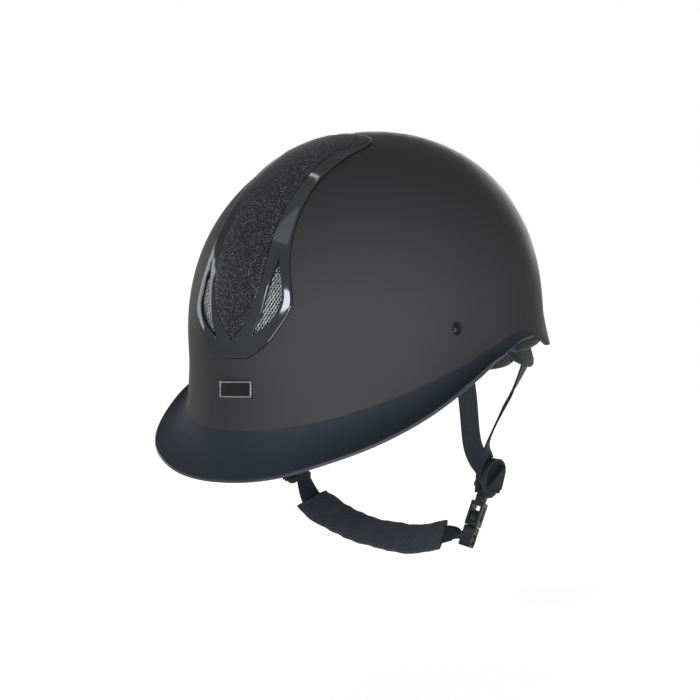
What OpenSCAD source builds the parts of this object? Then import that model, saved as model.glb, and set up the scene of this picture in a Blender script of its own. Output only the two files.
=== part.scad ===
// Riding helmet with a gloss front panel, a wide brim and a four-point chin harness.
// Millimetres. Front is -Y, the wearer's left is +X, up is +Z.
// The origin is the middle of the head opening, level with the widest ring of the shell.

/* [Shell] */
// Half of the shell's width at its widest ring
shell_half_w = 109.7; // [100:0.1:118]
// Half of the shell's length at its widest ring
shell_half_l = 135.6; // [124:0.1:146]
// Height of the crown above the widest ring
shell_h = 132.4; // [120:0.1:142]
// How much narrower the shell is at the front than at the back
egg = 0.032; // [0:0.001:0.06]
// How far back the crown's top lies
crown_shift = 11.3; // [6:0.1:16]
// Shell wall
shell_wall = 3; // [2:0.1:3.4]
// How far the front wall flares out at the brim, as a share of its radius
rim_flare = 0.056; // [0.03:0.001:0.07]
// Depth of the shell's lower edge at the front
rim_front = 44; // [38:0.5:48]
// Depth of the shell's lower edge at the temple
rim_temple = 28; // [24:0.5:32]
// Depth of the shell's lower edge over the ear
rim_ear = 5.5; // [4:0.5:8]
// Depth of the shell's lower edge at the nape
rim_nape = 24; // [20:0.5:27]

/* [Brim] */
// How far the lip stands out beyond the shell on each side
lip_overhang = 10; // [7:0.2:14]
// How far the lip reaches forward of its own middle
lip_reach = 142; // [134:0.5:150]
// How far forward of the origin the lip's middle lies
lip_mid = 16.8; // [14:0.2:20]
// Depth of the lip at the front
lip_front = 72; // [66:0.5:78]
// Depth of the lip at the temple
lip_temple = 42.5; // [38:0.5:46]
// Brim wall
brim_wall = 3; // [2.2:0.1:3.6]
// Radius of the rolled lip
lip_r = 1.2; // [1:0.1:1.6]

/* [Front panel] */
// Half of the panel's width where it is widest
panel_half_w = 40.3; // [38:0.1:43]
// Half of the panel's width along the crown
panel_neck_w = 30.6; // [28:0.1:33]
// Half of the glitter insert's width
glitter_half_w = 20.2; // [17:0.1:22]
// Panel thickness
panel_t = 1.25; // [1:0.05:1.6]
// Depth of the panel's recess for the insert
recess_t = 0.75; // [0.5:0.05:0.85]
// Thickness of the glitter insert
glitter_t = 0.75; // [0.5:0.05:1]

/* [Vents] */
// Width of a mesh strand
strand_w = 0.5; // [0.3:0.05:0.7]
// Spacing of the mesh strands
strand_pitch = 2.3; // [1.8:0.1:3]
// Mesh thickness
mesh_t = 0.6; // [0.4:0.05:0.9]

/* [Badge] */
// Badge width
badge_w = 26; // [20:0.5:30]
// Badge height
badge_h = 10; // [8:0.5:12]
// Badge thickness
badge_t = 1.4; // [1:0.1:2]
// Width of the badge's rim
badge_rim_w = 0.9; // [0.6:0.1:1.4]
// Depth of the badge's middle below the widest ring
badge_drop = 19; // [15:0.5:23]

/* [Liner and pads] */
// Thickness of the impact liner
liner_t = 20.6; // [16:0.2:22]
// Thickness of the comfort pads at their middle
pad_t = 7; // [5:0.5:8]
// Thickness of the comfort pads at their edge
pad_edge_t = 3; // [2:0.5:4]
// Depth of the padded nape lining's lower edge
lining_drop = 21; // [17:0.5:22]
// Depth of the nape flap's lower edge
flap_drop = 38; // [34:0.5:42]

/* [Rivets] */
// Radius of a rivet's domed head
rivet_head_r = 4.1; // [3:0.1:5]
// Height of the head
rivet_head_h = 2.3; // [1.5:0.1:3]
// Radius of a rivet's shank
rivet_r = 1.6; // [1.2:0.1:2.2]
// Radius of the inner washer
washer_r = 5.5; // [4:0.1:6.5]
// Washer thickness
washer_t = 0.9; // [0.6:0.1:1.2]
// Height of the rivets above the widest ring
rivet_z = 4.4; // [3:0.1:8]

/* [Webbing] */
// Webbing width
web_w = 15; // [13:0.5:16]
// Webbing thickness
web_t = 1.3; // [1:0.1:1.6]

/* [Dividers] */
// Radius of the divider's upper end
divider_r = 10.6; // [9.5:0.1:12]
// Radius of the divider's lower end
divider_foot_r = 8.6; // [8:0.1:9.4]
// Distance between the middles of the two ends
divider_len = 8.5; // [7:0.1:10]
// Thickness of the divider's base plate
divider_plate_t = 1.6; // [1.2:0.1:2.2]
// Height of the divider's rim above the plate
divider_rim_h = 2.4; // [1.8:0.1:3]
// Radius of the divider's lower bar
bar_r = 1.4; // [1.1:0.1:1.8]
// Radius of the lever's hinge pin
lever_pin_r = 0.75; // [0.6:0.05:0.95]

/* [Buckle] */
// Buckle width
buckle_w = 20.5; // [20:0.5:24]
// Buckle thickness
buckle_t = 8.4; // [8:0.2:10]
// Length from the socket's web bar to its mouth
socket_len = 20; // [19:0.5:24]
// Length of the plug's body outside the socket
plug_len = 14; // [13.5:0.5:16]
// Socket wall
socket_wall = 1.5; // [1.2:0.1:1.8]
// Thickness of a prong's arm
prong_t = 2; // [1.6:0.1:2.4]
// Radius of a prong's root
prong_root_r = 1.5; // [1.2:0.1:1.8]

/* [Chin pad] */
// Flat width of the chin pad's cover
chin_pad_w = 25; // [20:0.5:28]
// Thickness of the chin pad
chin_pad_t = 7; // [6:0.2:9]

/* [Fit system] */
// Radius of the dial
dial_r = 12.5; // [10:0.5:13]
// Thickness of the dial
dial_t = 7; // [5:0.5:8]
// Radius of the dial's shaft
dial_shaft_r = 3; // [2:0.1:4]
// Depth of the dial's middle below the widest ring
dial_drop = 36; // [35:0.5:40]
// Height of the adjusting band
band_h = 9; // [7:0.5:10]
// Thickness of the adjusting band
band_t = 1.3; // [1:0.1:1.6]

/* [Hidden] */

// Clearances
seat = 0.3;
pin_gap = 0.05;
skin_gap = 0.4;

// Shape exponents of the crown: plan radius and height against latitude
crown_round = 1.032;
crown_rise = 0.842;
flare_power = 1.4;

// Angular grid shared by the shell and everything nested in it
ring_step = 6;
skirt_rows = [1, 0.5, 0];
crown_rows = [6, 13, 20, 28, 36, 45, 54, 63, 72, 80, 86];

// Vector helpers
function unit(v) = v / norm(v);
function across(v, along) = unit(v - (v * along) * along);
function mirror_x(p) = [-p[0], p[1], p[2]];

// Smooth curve through [position, value] stops
function slot_of(stops, v, i = 0) =
    i >= len(stops) - 2 || v < stops[i + 1][0] ? i : slot_of(stops, v, i + 1);
function slope_at(stops, i) = i == 0 || i == len(stops) - 1 ? 0 :
    (stops[i + 1][1] - stops[i - 1][1]) / (stops[i + 1][0] - stops[i - 1][0]);
function smooth(stops, v) = let (
    i = slot_of(stops, v),
    a = stops[i],
    b = stops[i + 1],
    h = b[0] - a[0],
    s = min(1, max(0, (v - a[0]) / h)),
    q = s * s,
    c = q * s)
    a[1] * (2 * c - 3 * q + 1) + slope_at(stops, i) * h * (c - 2 * q + s)
    + b[1] * (3 * q - 2 * c) + slope_at(stops, i + 1) * h * (c - q);

// The helmet's surface. u turns from the front (0) over the wearer's left (90) to the back (180).
function plan_point(u, off) = [
    (shell_half_w + off) * sin(u) * (1 - egg * cos(u)),
    -(shell_half_l + off) * cos(u)];
function crown(u, t, off) = let (p = plan_point(u, off), r = pow(cos(t), crown_round))
    [p[0] * r, p[1] * r + crown_shift * sin(t), (shell_h + off) * pow(sin(t), crown_rise)];
function skirt(u, z, off) = let (
    p = plan_point(u, off),
    r = 1 + rim_flare * pow(-z / rim_front, flare_power))
    [p[0] * r, p[1] * r, z];
function wall(u, z, off) = z <= 0 ? skirt(u, z, off) :
    crown(u, asin(pow(z / (shell_h + off), 1 / crown_rise)), off);
// The same surface by angle over the top (m) and sideways distance (x)
function over_top(m, x, off) = let (
    a = x / shell_half_w,
    q = sqrt(1 - a * a))
    crown(atan2(a, cos(m) * q), asin(min(1, sin(m) * q)), off);

// Lower edges, by angle from the front
function turn(u) = abs(u > 180 ? u - 360 : u);
rim_stops = [[0, -rim_front], [28, -rim_front + 3], [58, -rim_temple], [80, -(rim_temple +
    rim_ear) / 2 + 2],
    [99, -rim_ear], [111, -(rim_ear + rim_nape) / 2 + 2], [124, -rim_nape + 1], [180, -rim_nape]];
function rim_z(u) = smooth(rim_stops, turn(u));
liner_rise = 4;
liner_nape = 8;
liner_stops = [[0, -rim_front + liner_rise], [28, -rim_front + 3 + liner_rise],
    [58, -rim_temple + liner_rise], [80, -(rim_temple + rim_ear) / 2 + 2 + liner_rise],
    [99, -rim_ear + 1], [124, -liner_nape], [180, -liner_nape]];
function liner_z(u) = smooth(liner_stops, turn(u));

// Offsets of the nested layers from the shell's outer surface
liner_out = -shell_wall - skin_gap;
liner_in = liner_out - liner_t;
pad_out = liner_in - skin_gap;

// Triangle lists for grids of points. Rows run up and columns run with u, seen from outside.
function sew(a, b, c, d) = [[a, c, b], [a, d, c]];
function grid_faces(base, rows, cols, wrap, flip) = [
    for (r = [0:rows - 2]) for (c = [0:cols - (wrap ? 1 : 2)])
        let (n = (c + 1) % cols, i = base + r * cols, j = i + cols)
            each (flip ? sew(i + n, i + c, j + c, j + n) : sew(i + c, i + n, j + n, j + c))];
function strip_faces(lower, upper, wrap) = let (n = len(lower))
    [for (k = [0:n - (wrap ? 1 : 2)]) let (m = (k + 1) % n)
        each sew(lower[k], lower[m], upper[m], upper[k])];
function fan_faces(loop, tip) = [for (k = [0:len(loop) - 1]) [loop[k], tip, loop[(k + 1) % len(loop)]]];
function flat(rows) = [for (r = rows) each r];

// A closed skin of two dome grids that meet at the lower edge
module dome_skin(outer, inner, outer_tip, inner_tip) {
    rows = len(outer);
    cols = len(outer[0]);
    n = rows * cols;
    top = (rows - 1) * cols;
    points = concat(flat(outer), flat(inner), [outer_tip, inner_tip]);
    faces = concat(
        grid_faces(0, rows, cols, true, false),
        grid_faces(n, rows, cols, true, true),
        strip_faces([for (c = [0:cols - 1]) n + c], [for (c = [0:cols - 1]) c], true),
        fan_faces([for (c = [0:cols - 1]) top + c], 2 * n),
        fan_faces([for (c = [0:cols - 1]) n + top + cols - 1 - c], 2 * n + 1));
    polyhedron(points, faces, convexity = 6);
}

// A closed patch of two open grids, with walls on all four sides
module patch_skin(outer, inner) {
    rows = len(outer);
    cols = len(outer[0]);
    n = rows * cols;
    last = (rows - 1) * cols;
    points = concat(flat(outer), flat(inner));
    faces = concat(
        grid_faces(0, rows, cols, false, false),
        grid_faces(n, rows, cols, false, true),
        strip_faces([for (c = [0:cols - 1]) n + c], [for (c = [0:cols - 1]) c], false),
        strip_faces([for (c = [0:cols - 1]) last + c], [for (c = [0:cols - 1]) n + last + c], false),
        strip_faces([for (r = [0:rows - 1]) r * cols], [for (r = [0:rows - 1]) n + r * cols], false),
        strip_faces([for (r = [0:rows - 1]) n + r * cols + cols - 1],
            [for (r = [0:rows - 1]) r * cols + cols - 1], false));
    polyhedron(points, faces, convexity = 6);
}

// A solid lofted through closed loops, capped at both ends
module loft(loops) {
    count = len(loops);
    sides = len(loops[0]);
    points = concat(flat(loops), [middle(loops[0]), middle(loops[count - 1])]);
    faces = concat(
        [for (r = [0:count - 2]) for (k = [0:sides - 1]) let (m = (k + 1) % sides, i = r * sides,
            j = i + sides)
            each sew(i + k, i + m, j + m, j + k)],
        [for (k = [0:sides - 1]) [k, (k + 1) % sides, count * sides]],
        [for (k = [0:sides - 1]) let (i = (count - 1) * sides) [i + (k + 1) % sides, i + k, count *
            sides + 1]]);
    polyhedron(points, faces, convexity = 6);
}
function middle(loop) = total(loop) / len(loop);
function total(list, i = 0) = i == len(list) - 1 ? list[i] : list[i] + total(list, i + 1);

// Places a shape drawn at the origin at a point, with its own x, y and z directions
module place(at, ex, ey, ez) {
    multmatrix([
        [ex[0], ey[0], ez[0], at[0]],
        [ex[1], ey[1], ez[1], at[1]],
        [ex[2], ey[2], ez[2], at[2]],
        [0, 0, 0, 1]])
        children();
}

// Shell, liner and their grids
ring_angles = [for (u = [0:ring_step:360 - ring_step]) u];
function dome_rows(off, edge) = concat(
    [for (f = skirt_rows) [for (u = ring_angles) skirt(u, f == 1 ? edge[u / ring_step] :
        edge[u / ring_step] * f, off)]],
    [for (t = crown_rows) [for (u = ring_angles) crown(u, t, off)]]);
rim_edge = [for (u = ring_angles) rim_z(u)];
liner_edge = [for (u = ring_angles) liner_z(u)];

module outer_shell() {
    color("#3b393b")
    difference() {
        dome_skin(dome_rows(0, rim_edge), dome_rows(-shell_wall, rim_edge),
            crown(0, 90, 0), crown(0, 90, -shell_wall));
        for (side = [-1, 1]) {
            vent_prism(side, vent_seat, -2 * shell_wall, 2 * shell_wall);
            rivet_axis(side)
                cylinder(r = rivet_r + pin_gap, h = 4 * shell_wall, center = true, $fn = 32);
        }
    }
}

// Harness places: the front straps hang from the rivets in one upright plane on each side
rivet_u = 72;
rivet_at = wall(rivet_u, rivet_z, 0);
strap_turn = 76;
strap_out = [sin(strap_turn), -cos(strap_turn), 0];
strap_back = [cos(strap_turn), sin(strap_turn), 0];
rivet_d = rivet_at * strap_out;
rivet_s = rivet_at * strap_back;
strap_gap = 1.1;
strap_d = rivet_d - shell_wall - strap_gap - web_t / 2;
function in_plane(d, s, z) = strap_out * d + strap_back * s + [0, 0, z];

// Puts a shape on a rivet's axis: z points out of the shell, and 0 is the shell's outer surface
module rivet_axis(side) {
    mirror([side < 0 ? 1 : 0, 0, 0])
        place(in_plane(rivet_d, rivet_s, rivet_z), strap_back, [0, 0, 1], strap_out)
            children();
}

pocket_depth = shell_wall + strap_gap + web_t + washer_t + 2.2;
module strap_pocket(side) {
    rivet_axis(side)
        translate([-web_w / 2 - 1.5, -rivet_z - 40, -pocket_depth])
            cube([web_w + 3 + 4, rivet_z + 40 + 20 - rivet_z, pocket_depth + 5]);
}

module impact_liner() {
    color("#17181b")
    difference() {
        dome_skin(dome_rows(liner_out, liner_edge), dome_rows(liner_in, liner_edge),
            crown(0, 90, liner_out), crown(0, 90, liner_in));
        for (side = [-1, 1]) {
            strap_pocket(side);
            vent_prism(side, 0, -2 * liner_t, 4);
        }
    }
}

// Front panel: half widths by the angle over the top
panel_end = 81;
panel_stops = [[0, 11], [0.5, 15.6], [1.2, 20.4], [2.6, 26.4], [5.5, 33], [8.2, 37.6], [11, panel_half_w],
    [15, panel_half_w - 1.1], [22, (panel_half_w + panel_neck_w) / 2], [34, panel_neck_w + 1.4],
    [48, panel_neck_w + 0.2], [58, panel_neck_w + 1.8], [68, panel_neck_w + 3.8], [74, panel_neck_w + 4.8],
    [77.6, panel_neck_w + 2], [79.8, panel_neck_w - 5.1], [panel_end, panel_neck_w - 18.6]];
function panel_half(m) = smooth(panel_stops, m);
glitter_start = 3.8;
glitter_end = 78.6;
glitter_stops = [[glitter_start, 1.4], [5, 5.6], [8, 11.2], [12.5, glitter_half_w - 3.4], [20,
    glitter_half_w - 0.3],
    [36, glitter_half_w], [57, glitter_half_w + 2.2], [65, glitter_half_w + 4], [69, glitter_half_w + 7.8],
    [72, glitter_half_w + 11.2], [75, glitter_half_w + 12], [77.4, glitter_half_w + 7.8],
        [glitter_end, glitter_half_w - 2.2]];
function glitter_half(m) = smooth(glitter_stops, m);
recess_start = glitter_start - 0.5;
recess_end = glitter_end + 0.4;
function recess_half(m) = m < glitter_start ? glitter_stops[0][1] + seat :
    m > glitter_end ? glitter_half(glitter_end) + seat : glitter_half(m) + seat;
panel_low = 0.5;
panel_high = panel_low + panel_t;
recess_low = panel_high - recess_t;
bevel = 1.1;
panel_rows = [0, 0.5, 1.2, 2.4, recess_start - 0.25, recess_start, 5, 6.5, 8.2, 11, 14, 18, 23, 29,
    36, 44, 52, 59, 65, 69,
    72, 74, 76, 77.6, recess_end, recess_end + 0.25, 80.3, panel_end];
function in_recess(m) = m >= recess_start && m <= recess_end;
// Across one row: [sideways distance, height on top]
function panel_row(m) = let (
    p = panel_half(m),
    g = min(recess_half(m), p - bevel - 1),
    low = in_recess(m) ? recess_low : panel_high,
    half = [[0, low], [g * 0.5, low], [g, low], [g + 0.12, panel_high], [(g + p - bevel) / 2 + 0.06,
        panel_high],
        [p - bevel, panel_high], [p, panel_high - 0.55]])
    concat([for (k = [6:-1:1]) [-half[k][0], half[k][1]]], half);

module front_panel() {
    color("#4c5058")
    difference() {
        patch_skin(
            [for (m = panel_rows) [for (q = panel_row(m)) over_top(m, q[0], q[1])]],
            [for (m = panel_rows) [for (q = panel_row(m)) over_top(m, q[0], panel_low)]]);
        for (side = [-1, 1])
            vent_prism(side, 0, -4, 6);
    }
}

glitter_rows = [glitter_start, 4.6, 5.6, 7, 9, 12, 16, 21, 28, 36, 44, 52, 59, 65, 69, 72, 75, 77,
    78, glitter_end];
glitter_cols = [-1, -0.93, -0.5, 0, 0.5, 0.93, 1];
module glitter_insert() {
    low = recess_low + seat;
    color("#2b2a30")
    patch_skin(
        [for (m = glitter_rows) [for (f = glitter_cols)
            over_top(m, f * glitter_half(m), low + glitter_t - (abs(f) == 1 ? 0.25 : 0))]],
        [for (m = glitter_rows) [for (f = glitter_cols) over_top(m, f * glitter_half(m), low)]]);
}

// Vents: a leaf in the panel, with its mesh set into the shell behind it
vent_seat = 0.6;
vent_mid = 12.5;
vent_side = 26.5;
leaf_in = [[4, 15.6], [8, 20.4], [12.5, 23.4], [18, 26], [23, 28.2]];
leaf_out = [[23, 28.6], [17.5, 32.2], [12.5, 34], [9.5, 31.8], [7, 27.2], [5.2, 21.4], [4, 16.4]];
vent_at = over_top(vent_mid, vent_side, 0);
vent_up = unit(over_top(vent_mid + 6, vent_side, 0) - over_top(vent_mid - 6, vent_side, 0));
vent_x = across(over_top(vent_mid, vent_side + 6, 0) - over_top(vent_mid, vent_side - 6, 0), vent_up);
vent_out = cross(vent_x, vent_up);
function leaf_point(q) = let (d = over_top(q[0], q[1], 0) - vent_at) [d * vent_x, d * vent_up];
leaf = [for (q = concat(leaf_in, leaf_out)) leaf_point(q)];
leaf_mid = middle(leaf);
function grow(points, by) = [for (p = points) p + unit(p - leaf_mid) * by];

module vent_prism(side, by, from, to) {
    mirror([side < 0 ? 1 : 0, 0, 0])
        place(vent_at, vent_x, vent_up, vent_out)
            translate([0, 0, from])
                linear_extrude(to - from)
                    polygon(grow(leaf, by));
}
// The mesh is bent over the crown's own radius
vent_depth = 1.1;
vent_bend_r = 130;
strand_rows = 9;
module strands(angle) {
    rotate(angle)
        for (k = [-strand_rows:strand_rows])
            translate([k * strand_pitch - strand_w / 2, -40])
                square([strand_w, 80]);
}
module mesh_plan() {
    difference() {
        polygon(grow(leaf, vent_seat - seat));
        polygon(grow(leaf, vent_seat - seat - 0.9));
    }
    intersection() {
        polygon(grow(leaf, vent_seat - seat - 0.5));
        union() {
            strands(32);
            strands(-32);
        }
    }
}
module vent_mesh(side) {
    mirror([side < 0 ? 1 : 0, 0, 0])
        place(vent_at, vent_x, vent_up, vent_out)
            intersection() {
                translate([0, 0, -8])
                    linear_extrude(10)
                        mesh_plan();
                translate([0, 0, -vent_bend_r - vent_depth])
                    rotate([0, 90, 0])
                        difference() {
                            cylinder(r = vent_bend_r, h = 80, center = true, $fn = 180);
                            cylinder(r = vent_bend_r - mesh_t, h = 82, center = true, $fn = 180);
                        }
            }
}
module vent_mesh_left() { color("#b9bcc2") vent_mesh(1); }
module vent_mesh_right() { color("#b9bcc2") vent_mesh(-1); }

// Badge: a bare curved plate in a thin rim, tilted with the wall
badge_at = skirt(0, -badge_drop, 0);
badge_above = skirt(0, -badge_drop + badge_h / 2, 0);
badge_below = skirt(0, -badge_drop - badge_h / 2, 0);
badge_tilt = atan2(badge_above[1] - badge_below[1], badge_above[2] - badge_below[2]);
badge_bend_r = pow(shell_half_w, 2) / shell_half_l + 1;
module badge_bow(w, h, low, high) {
    translate([0, badge_at[1], badge_at[2]])
        rotate([-badge_tilt, 0, 0])
            translate([0, badge_bend_r, 0])
                intersection() {
                    difference() {
                        cylinder(r = badge_bend_r + high, h = h, center = true, $fn = 96);
                        cylinder(r = badge_bend_r + low, h = h + 1, center = true, $fn = 96);
                    }
                    translate([0, -badge_bend_r, 0])
                        cube([w, 20, h], center = true);
                }
}
module badge_rim() {
    color("#8d9096")
    difference() {
        badge_bow(badge_w, badge_h, seat, seat + badge_t);
        badge_bow(badge_w - 2 * badge_rim_w, badge_h - 2 * badge_rim_w, seat + 0.5, seat + badge_t + 1);
    }
}
module badge_plate() {
    color("#0c0c0e")
    badge_bow(badge_w - 2 * badge_rim_w - 0.2, badge_h - 2 * badge_rim_w - 0.2, seat + 0.5, seat +
        badge_t - 0.35);
}

// Brim: from the shell's lower edge out and down to a rolled lip
brim_end = 108;
// Behind the temple the lip closes in on the shell and dies out over the ear
lip_close_from = 88;
lip_close = 0.92;
lip_half_w = shell_half_w + lip_overhang;
brim_step = 4;
lip_round_x = 0.9;
lip_round_y = 0.8;
lip_tuck = 0.22;
lip_depth_stops = [[0, -lip_front], [16, -lip_front + 2.6], [32, -lip_front + 9.8], [48,
    -(lip_front + lip_temple) / 2 + 3.4],
    [64, -lip_temple], [80, -(lip_temple + rim_ear) / 2 - 3.4], [96, -rim_ear - 7.6], [brim_end,
        -rim_ear - 5.8]];
function signed_pow(v, e) = v < 0 ? -pow(-v, e) : pow(v, e);
function brim_end_share(u) = smooth([[lip_close_from, 0], [brim_end, 1]], abs(u));
function lip(u) = let (
    a = abs(u),
    tuck = lip_tuck * pow(max(0, 0.35 - cos(a)), 2),
    near = lip_close * brim_end_share(u),
    top = brim_top(u))
    [sign(u) * lip_half_w * pow(sin(a), lip_round_x) * (1 - tuck) * (1 - near) + top[0] * near,
        (-lip_mid - lip_reach * signed_pow(cos(a), lip_round_y)) * (1 - near) + top[1] * near,
        smooth(lip_depth_stops, a)];
brim_gap = seat;
// The ear arch is a tight curve, so the gap widens there
brim_end_gap = 0.45;
function brim_top(u) = skirt(u, rim_z(u < 0 ? u + 360 : u) - brim_gap - brim_end_gap *
    brim_end_share(u), 0);
// A quadratic curve that leaves the shell along its wall and sweeps out to the lip
sweep = 0.5;
function brim_curve(u, s) = let (
    a = brim_top(u),
    c = lip(u),
    b = [a[0] + (c[0] - a[0]) * 0.16, a[1] + (c[1] - a[1]) * 0.16, a[2] + (c[2] - a[2]) * sweep])
    a * pow(1 - s, 2) + b * 2 * s * (1 - s) + c * pow(s, 2);
function brim_normal(u, s) = let (
    along = brim_curve(u, min(1, s + 0.05)) - brim_curve(u, max(0, s - 0.05)),
    round = brim_curve(u + 1, s) - brim_curve(u - 1, s),
    near = brim_end_share(u))
    unit(unit(cross(round, -along)) * (1 - near) + [sin(u), -cos(u), 0] * near);
brim_steps = [0, 0.2, 0.4, 0.6, 0.8, 0.94];
function brim_loop(u) = let (
    end = lip(u),
    out = brim_normal(u, 1),
    on = unit(end - brim_curve(u, 0.9)))
    concat(
        [for (s = brim_steps) brim_curve(u, s)],
        [for (a = [20, 90, 160]) end - out * lip_r * (1 - cos(a)) + on * lip_r * sin(a)],
        [for (k = [len(brim_steps) - 1:-1:0]) let (s = brim_steps[k])
            brim_curve(u, s) - brim_normal(u, s) * brim_wall]);
module brim() {
    color("#272b36")
    loft([for (u = [-brim_end:brim_step:brim_end]) brim_loop(u)]);
}

// Rivets and washers
module side_rivets() {
    tail = shell_wall + strap_gap + web_t + washer_t + 2 * seat;
    color("#1c1c1f")
    for (side = [-1, 1])
        rivet_axis(side) {
            translate([0, 0, seat])
                intersection() {
                    cylinder(r = rivet_head_r, h = rivet_head_h, $fn = 48);
                    translate([0, 0, rivet_head_h - head_ball_r])
                        sphere(r = head_ball_r, $fn = 64);
                }
            translate([0, 0, -tail])
                cylinder(r = rivet_r, h = tail + seat + 0.5, $fn = 32);
            translate([0, 0, -tail - 1])
                cylinder(r = rivet_r + 1, h = 1, $fn = 32);
        }
}
head_ball_r = (pow(rivet_head_r, 2) + pow(rivet_head_h, 2)) / (2 * rivet_head_h);
module rivet_washers() {
    color("#6f7278")
    for (side = [-1, 1])
        rivet_axis(side)
            translate([0, 0, -shell_wall - strap_gap - web_t - seat - washer_t])
                difference() {
                    cylinder(r = washer_r, h = washer_t, $fn = 48);
                    translate([0, 0, -1])
                        cylinder(r = rivet_r + pin_gap, h = washer_t + 2, $fn = 32);
                }
}

// Comfort pads: thick in the middle and drawn in at the edges
function pad_depth(a, b) = pad_edge_t + (pad_t - pad_edge_t) * pow(max(0, (1 - pow(a, 4)) * (1 -
    pow(b, 4))), 0.6);
module band_pad(from, to, step, low, tall, channels) {
    us = [for (u = [from:step:to]) u];
    vs = [0, 0.12, 0.35, 0.65, 0.88, 1];
    half = (to - from) / 2;
    patch_skin(
        [for (v = vs) [for (u = us) wall(u, low_of(low, u) + v * tall, pad_out)]],
        [for (v = vs) [for (u = us) let (
            a = abs(u - from - half) / half,
            groove = channels > 0 ? 0.35 * pow(max(0, cos((u - from) / (to - from) * channels *
                360)), 8) : 0)
            wall(u, low_of(low, u) + v * tall, pad_out - pad_depth(a, abs(2 * v - 1)) * (1 - groove))]]);
}
function low_of(low, u) = low == 0 ? liner_z(u) + 2 : low;
module brow_pad() {
    color("#202329")
    band_pad(-54, 54, 6, 0, 27, 3);
}
module side_pad_left() {
    color("#202329")
    band_pad(84, 132, 6, 6, 30, 2);
}
module side_pad_right() {
    color("#202329")
    mirror([1, 0, 0])
        band_pad(84, 132, 6, 6, 30, 2);
}
crown_pad_rows = [0, 0.3, 0.62, 0.86, 1];
function crown_pad_t(u, v) = 90 - (90 - 56 + 7 * cos(4 * u)) * (1 - v * 0.94);
module crown_pad() {
    color("#202329")
    dome_skin(
        [for (v = crown_pad_rows) [for (u = [0:10:350]) crown(u, crown_pad_t(u, v), pad_out)]],
        [for (v = crown_pad_rows) [for (u = [0:10:350])
            crown(u, crown_pad_t(u, v), pad_out - pad_edge_t - (pad_t - pad_edge_t) * pow(v, 0.5))]],
        crown(0, 90, pad_out), crown(0, 90, pad_out - pad_t));
}

// Nape: a padded lining under the liner's edge, and a woven flap on each side that carries a rear strap
lining_from = 90;
lining_rows = [0, 0.3, 0.7, 1];
lining_out = -shell_wall - 1;
lining_t = 9;
function lining_fade(u) = min(1, max(0.3, (turn(u) - lining_from + 3) / 14));
function lining_low(u) = liner_z(u) - skin_gap - (lining_drop - rim_ear) * lining_fade(u);
module nape_lining() {
    us = [for (u = [lining_from:6:360 - lining_from]) u];
    color("#23262e")
    patch_skin(
        [for (v = lining_rows) [for (u = us) let (top = liner_z(u) - skin_gap, low =
            max(-lining_drop, lining_low(u)))
            wall(u, low + (top - low) * v, lining_out - (v == 0 ? 1.6 : 0))]],
        [for (v = lining_rows) [for (u = us) let (top = liner_z(u) - skin_gap, low =
            max(-lining_drop, lining_low(u)))
            wall(u, low + (top - low) * v, lining_out - lining_t + (v == 0 ? 1.6 : 0))]]);
}
flap_out = lining_out - lining_t - skin_gap;
flap_t = 1.5;
flap_from = 96;
flap_to = 138;
flap_low_stops = [[flap_from, -lining_drop + 4], [104, -flap_drop + 12], [112, -flap_drop + 6],
    [120, -flap_drop + 3], [130, -flap_drop + 5], [flap_to, -flap_drop + 12]];
module nape_flap(side) {
    us = [for (u = [flap_from:6:flap_to]) u];
    mirror([side < 0 ? 1 : 0, 0, 0])
        patch_skin(
            [for (v = [0, 0.5, 1]) [for (u = us) let (top = liner_z(u) - skin_gap, low =
                smooth(flap_low_stops, u))
                wall(u, low + (top - low) * v, flap_out)]],
            [for (v = [0, 0.5, 1]) [for (u = us) let (top = liner_z(u) - skin_gap, low =
                smooth(flap_low_stops, u))
                wall(u, low + (top - low) * v, flap_out - flap_t)]]);
}
module nape_flap_left() { color("#2a2d33") nape_flap(1); }
module nape_flap_right() { color("#2a2d33") nape_flap(-1); }

cradle_t = 2.2;
cradle_half = 36;
cradle_top = 14;
function cradle_low(u) = -dial_drop - 11 + 10 * pow(abs(u - 180) / cradle_half, 2);
module nape_cradle() {
    us = [for (u = [180 - cradle_half:6:180 + cradle_half]) u];
    color("#26282c")
    patch_skin(
        [for (v = [0, 0.2, 0.4, 0.6, 0.8, 1]) [for (u = us)
            wall(u, cradle_low(u) + (cradle_top - cradle_low(u)) * v, pad_out)]],
        [for (v = [0, 0.2, 0.4, 0.6, 0.8, 1]) [for (u = us)
            wall(u, cradle_low(u) + (cradle_top - cradle_low(u)) * v, pad_out - cradle_t)]]);
}
module nape_pad() {
    us = [for (u = [180 - cradle_half + 6:6:180 + cradle_half - 6]) u];
    vs = [0, 0.12, 0.35, 0.65, 0.88, 1];
    low = -dial_drop + 2;
    tall = dial_drop + 8;
    face = pad_out - cradle_t - skin_gap;
    color("#202329")
    patch_skin(
        [for (v = vs) [for (u = us) wall(u, low + v * tall, face)]],
        [for (v = vs) [for (u = us)
            wall(u, low + v * tall, face - pad_depth(abs(u - 180) / (cradle_half - 6), abs(2 * v -
                1)) + 2)]]);
}

// Fit system: a dial behind the nape that draws in a band on each side
housing_w = 42;
housing_h = 18;
housing_t = 5.4;
housing_y = skirt(180, -dial_drop - housing_h / 2, pad_out)[1] + seat;
housing_face = housing_y + housing_t;
band_mid_y = housing_y + housing_t / 2;
module rounded_box(w, h, t, r) {
    // w along x, h along z, t along y from 0
    rotate([-90, 0, 0])
        linear_extrude(t) {
            square([w - 2 * r, h], center = true);
            square([w, h - 2 * r], center = true);
            for (sx = [-1, 1])
                for (sy = [-1, 1])
                    translate([sx * (w / 2 - r), sy * (h / 2 - r)])
                        circle(r = r, $fn = 32);
        }
}
band_play = 0.35;
band_core = 1.5;
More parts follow.
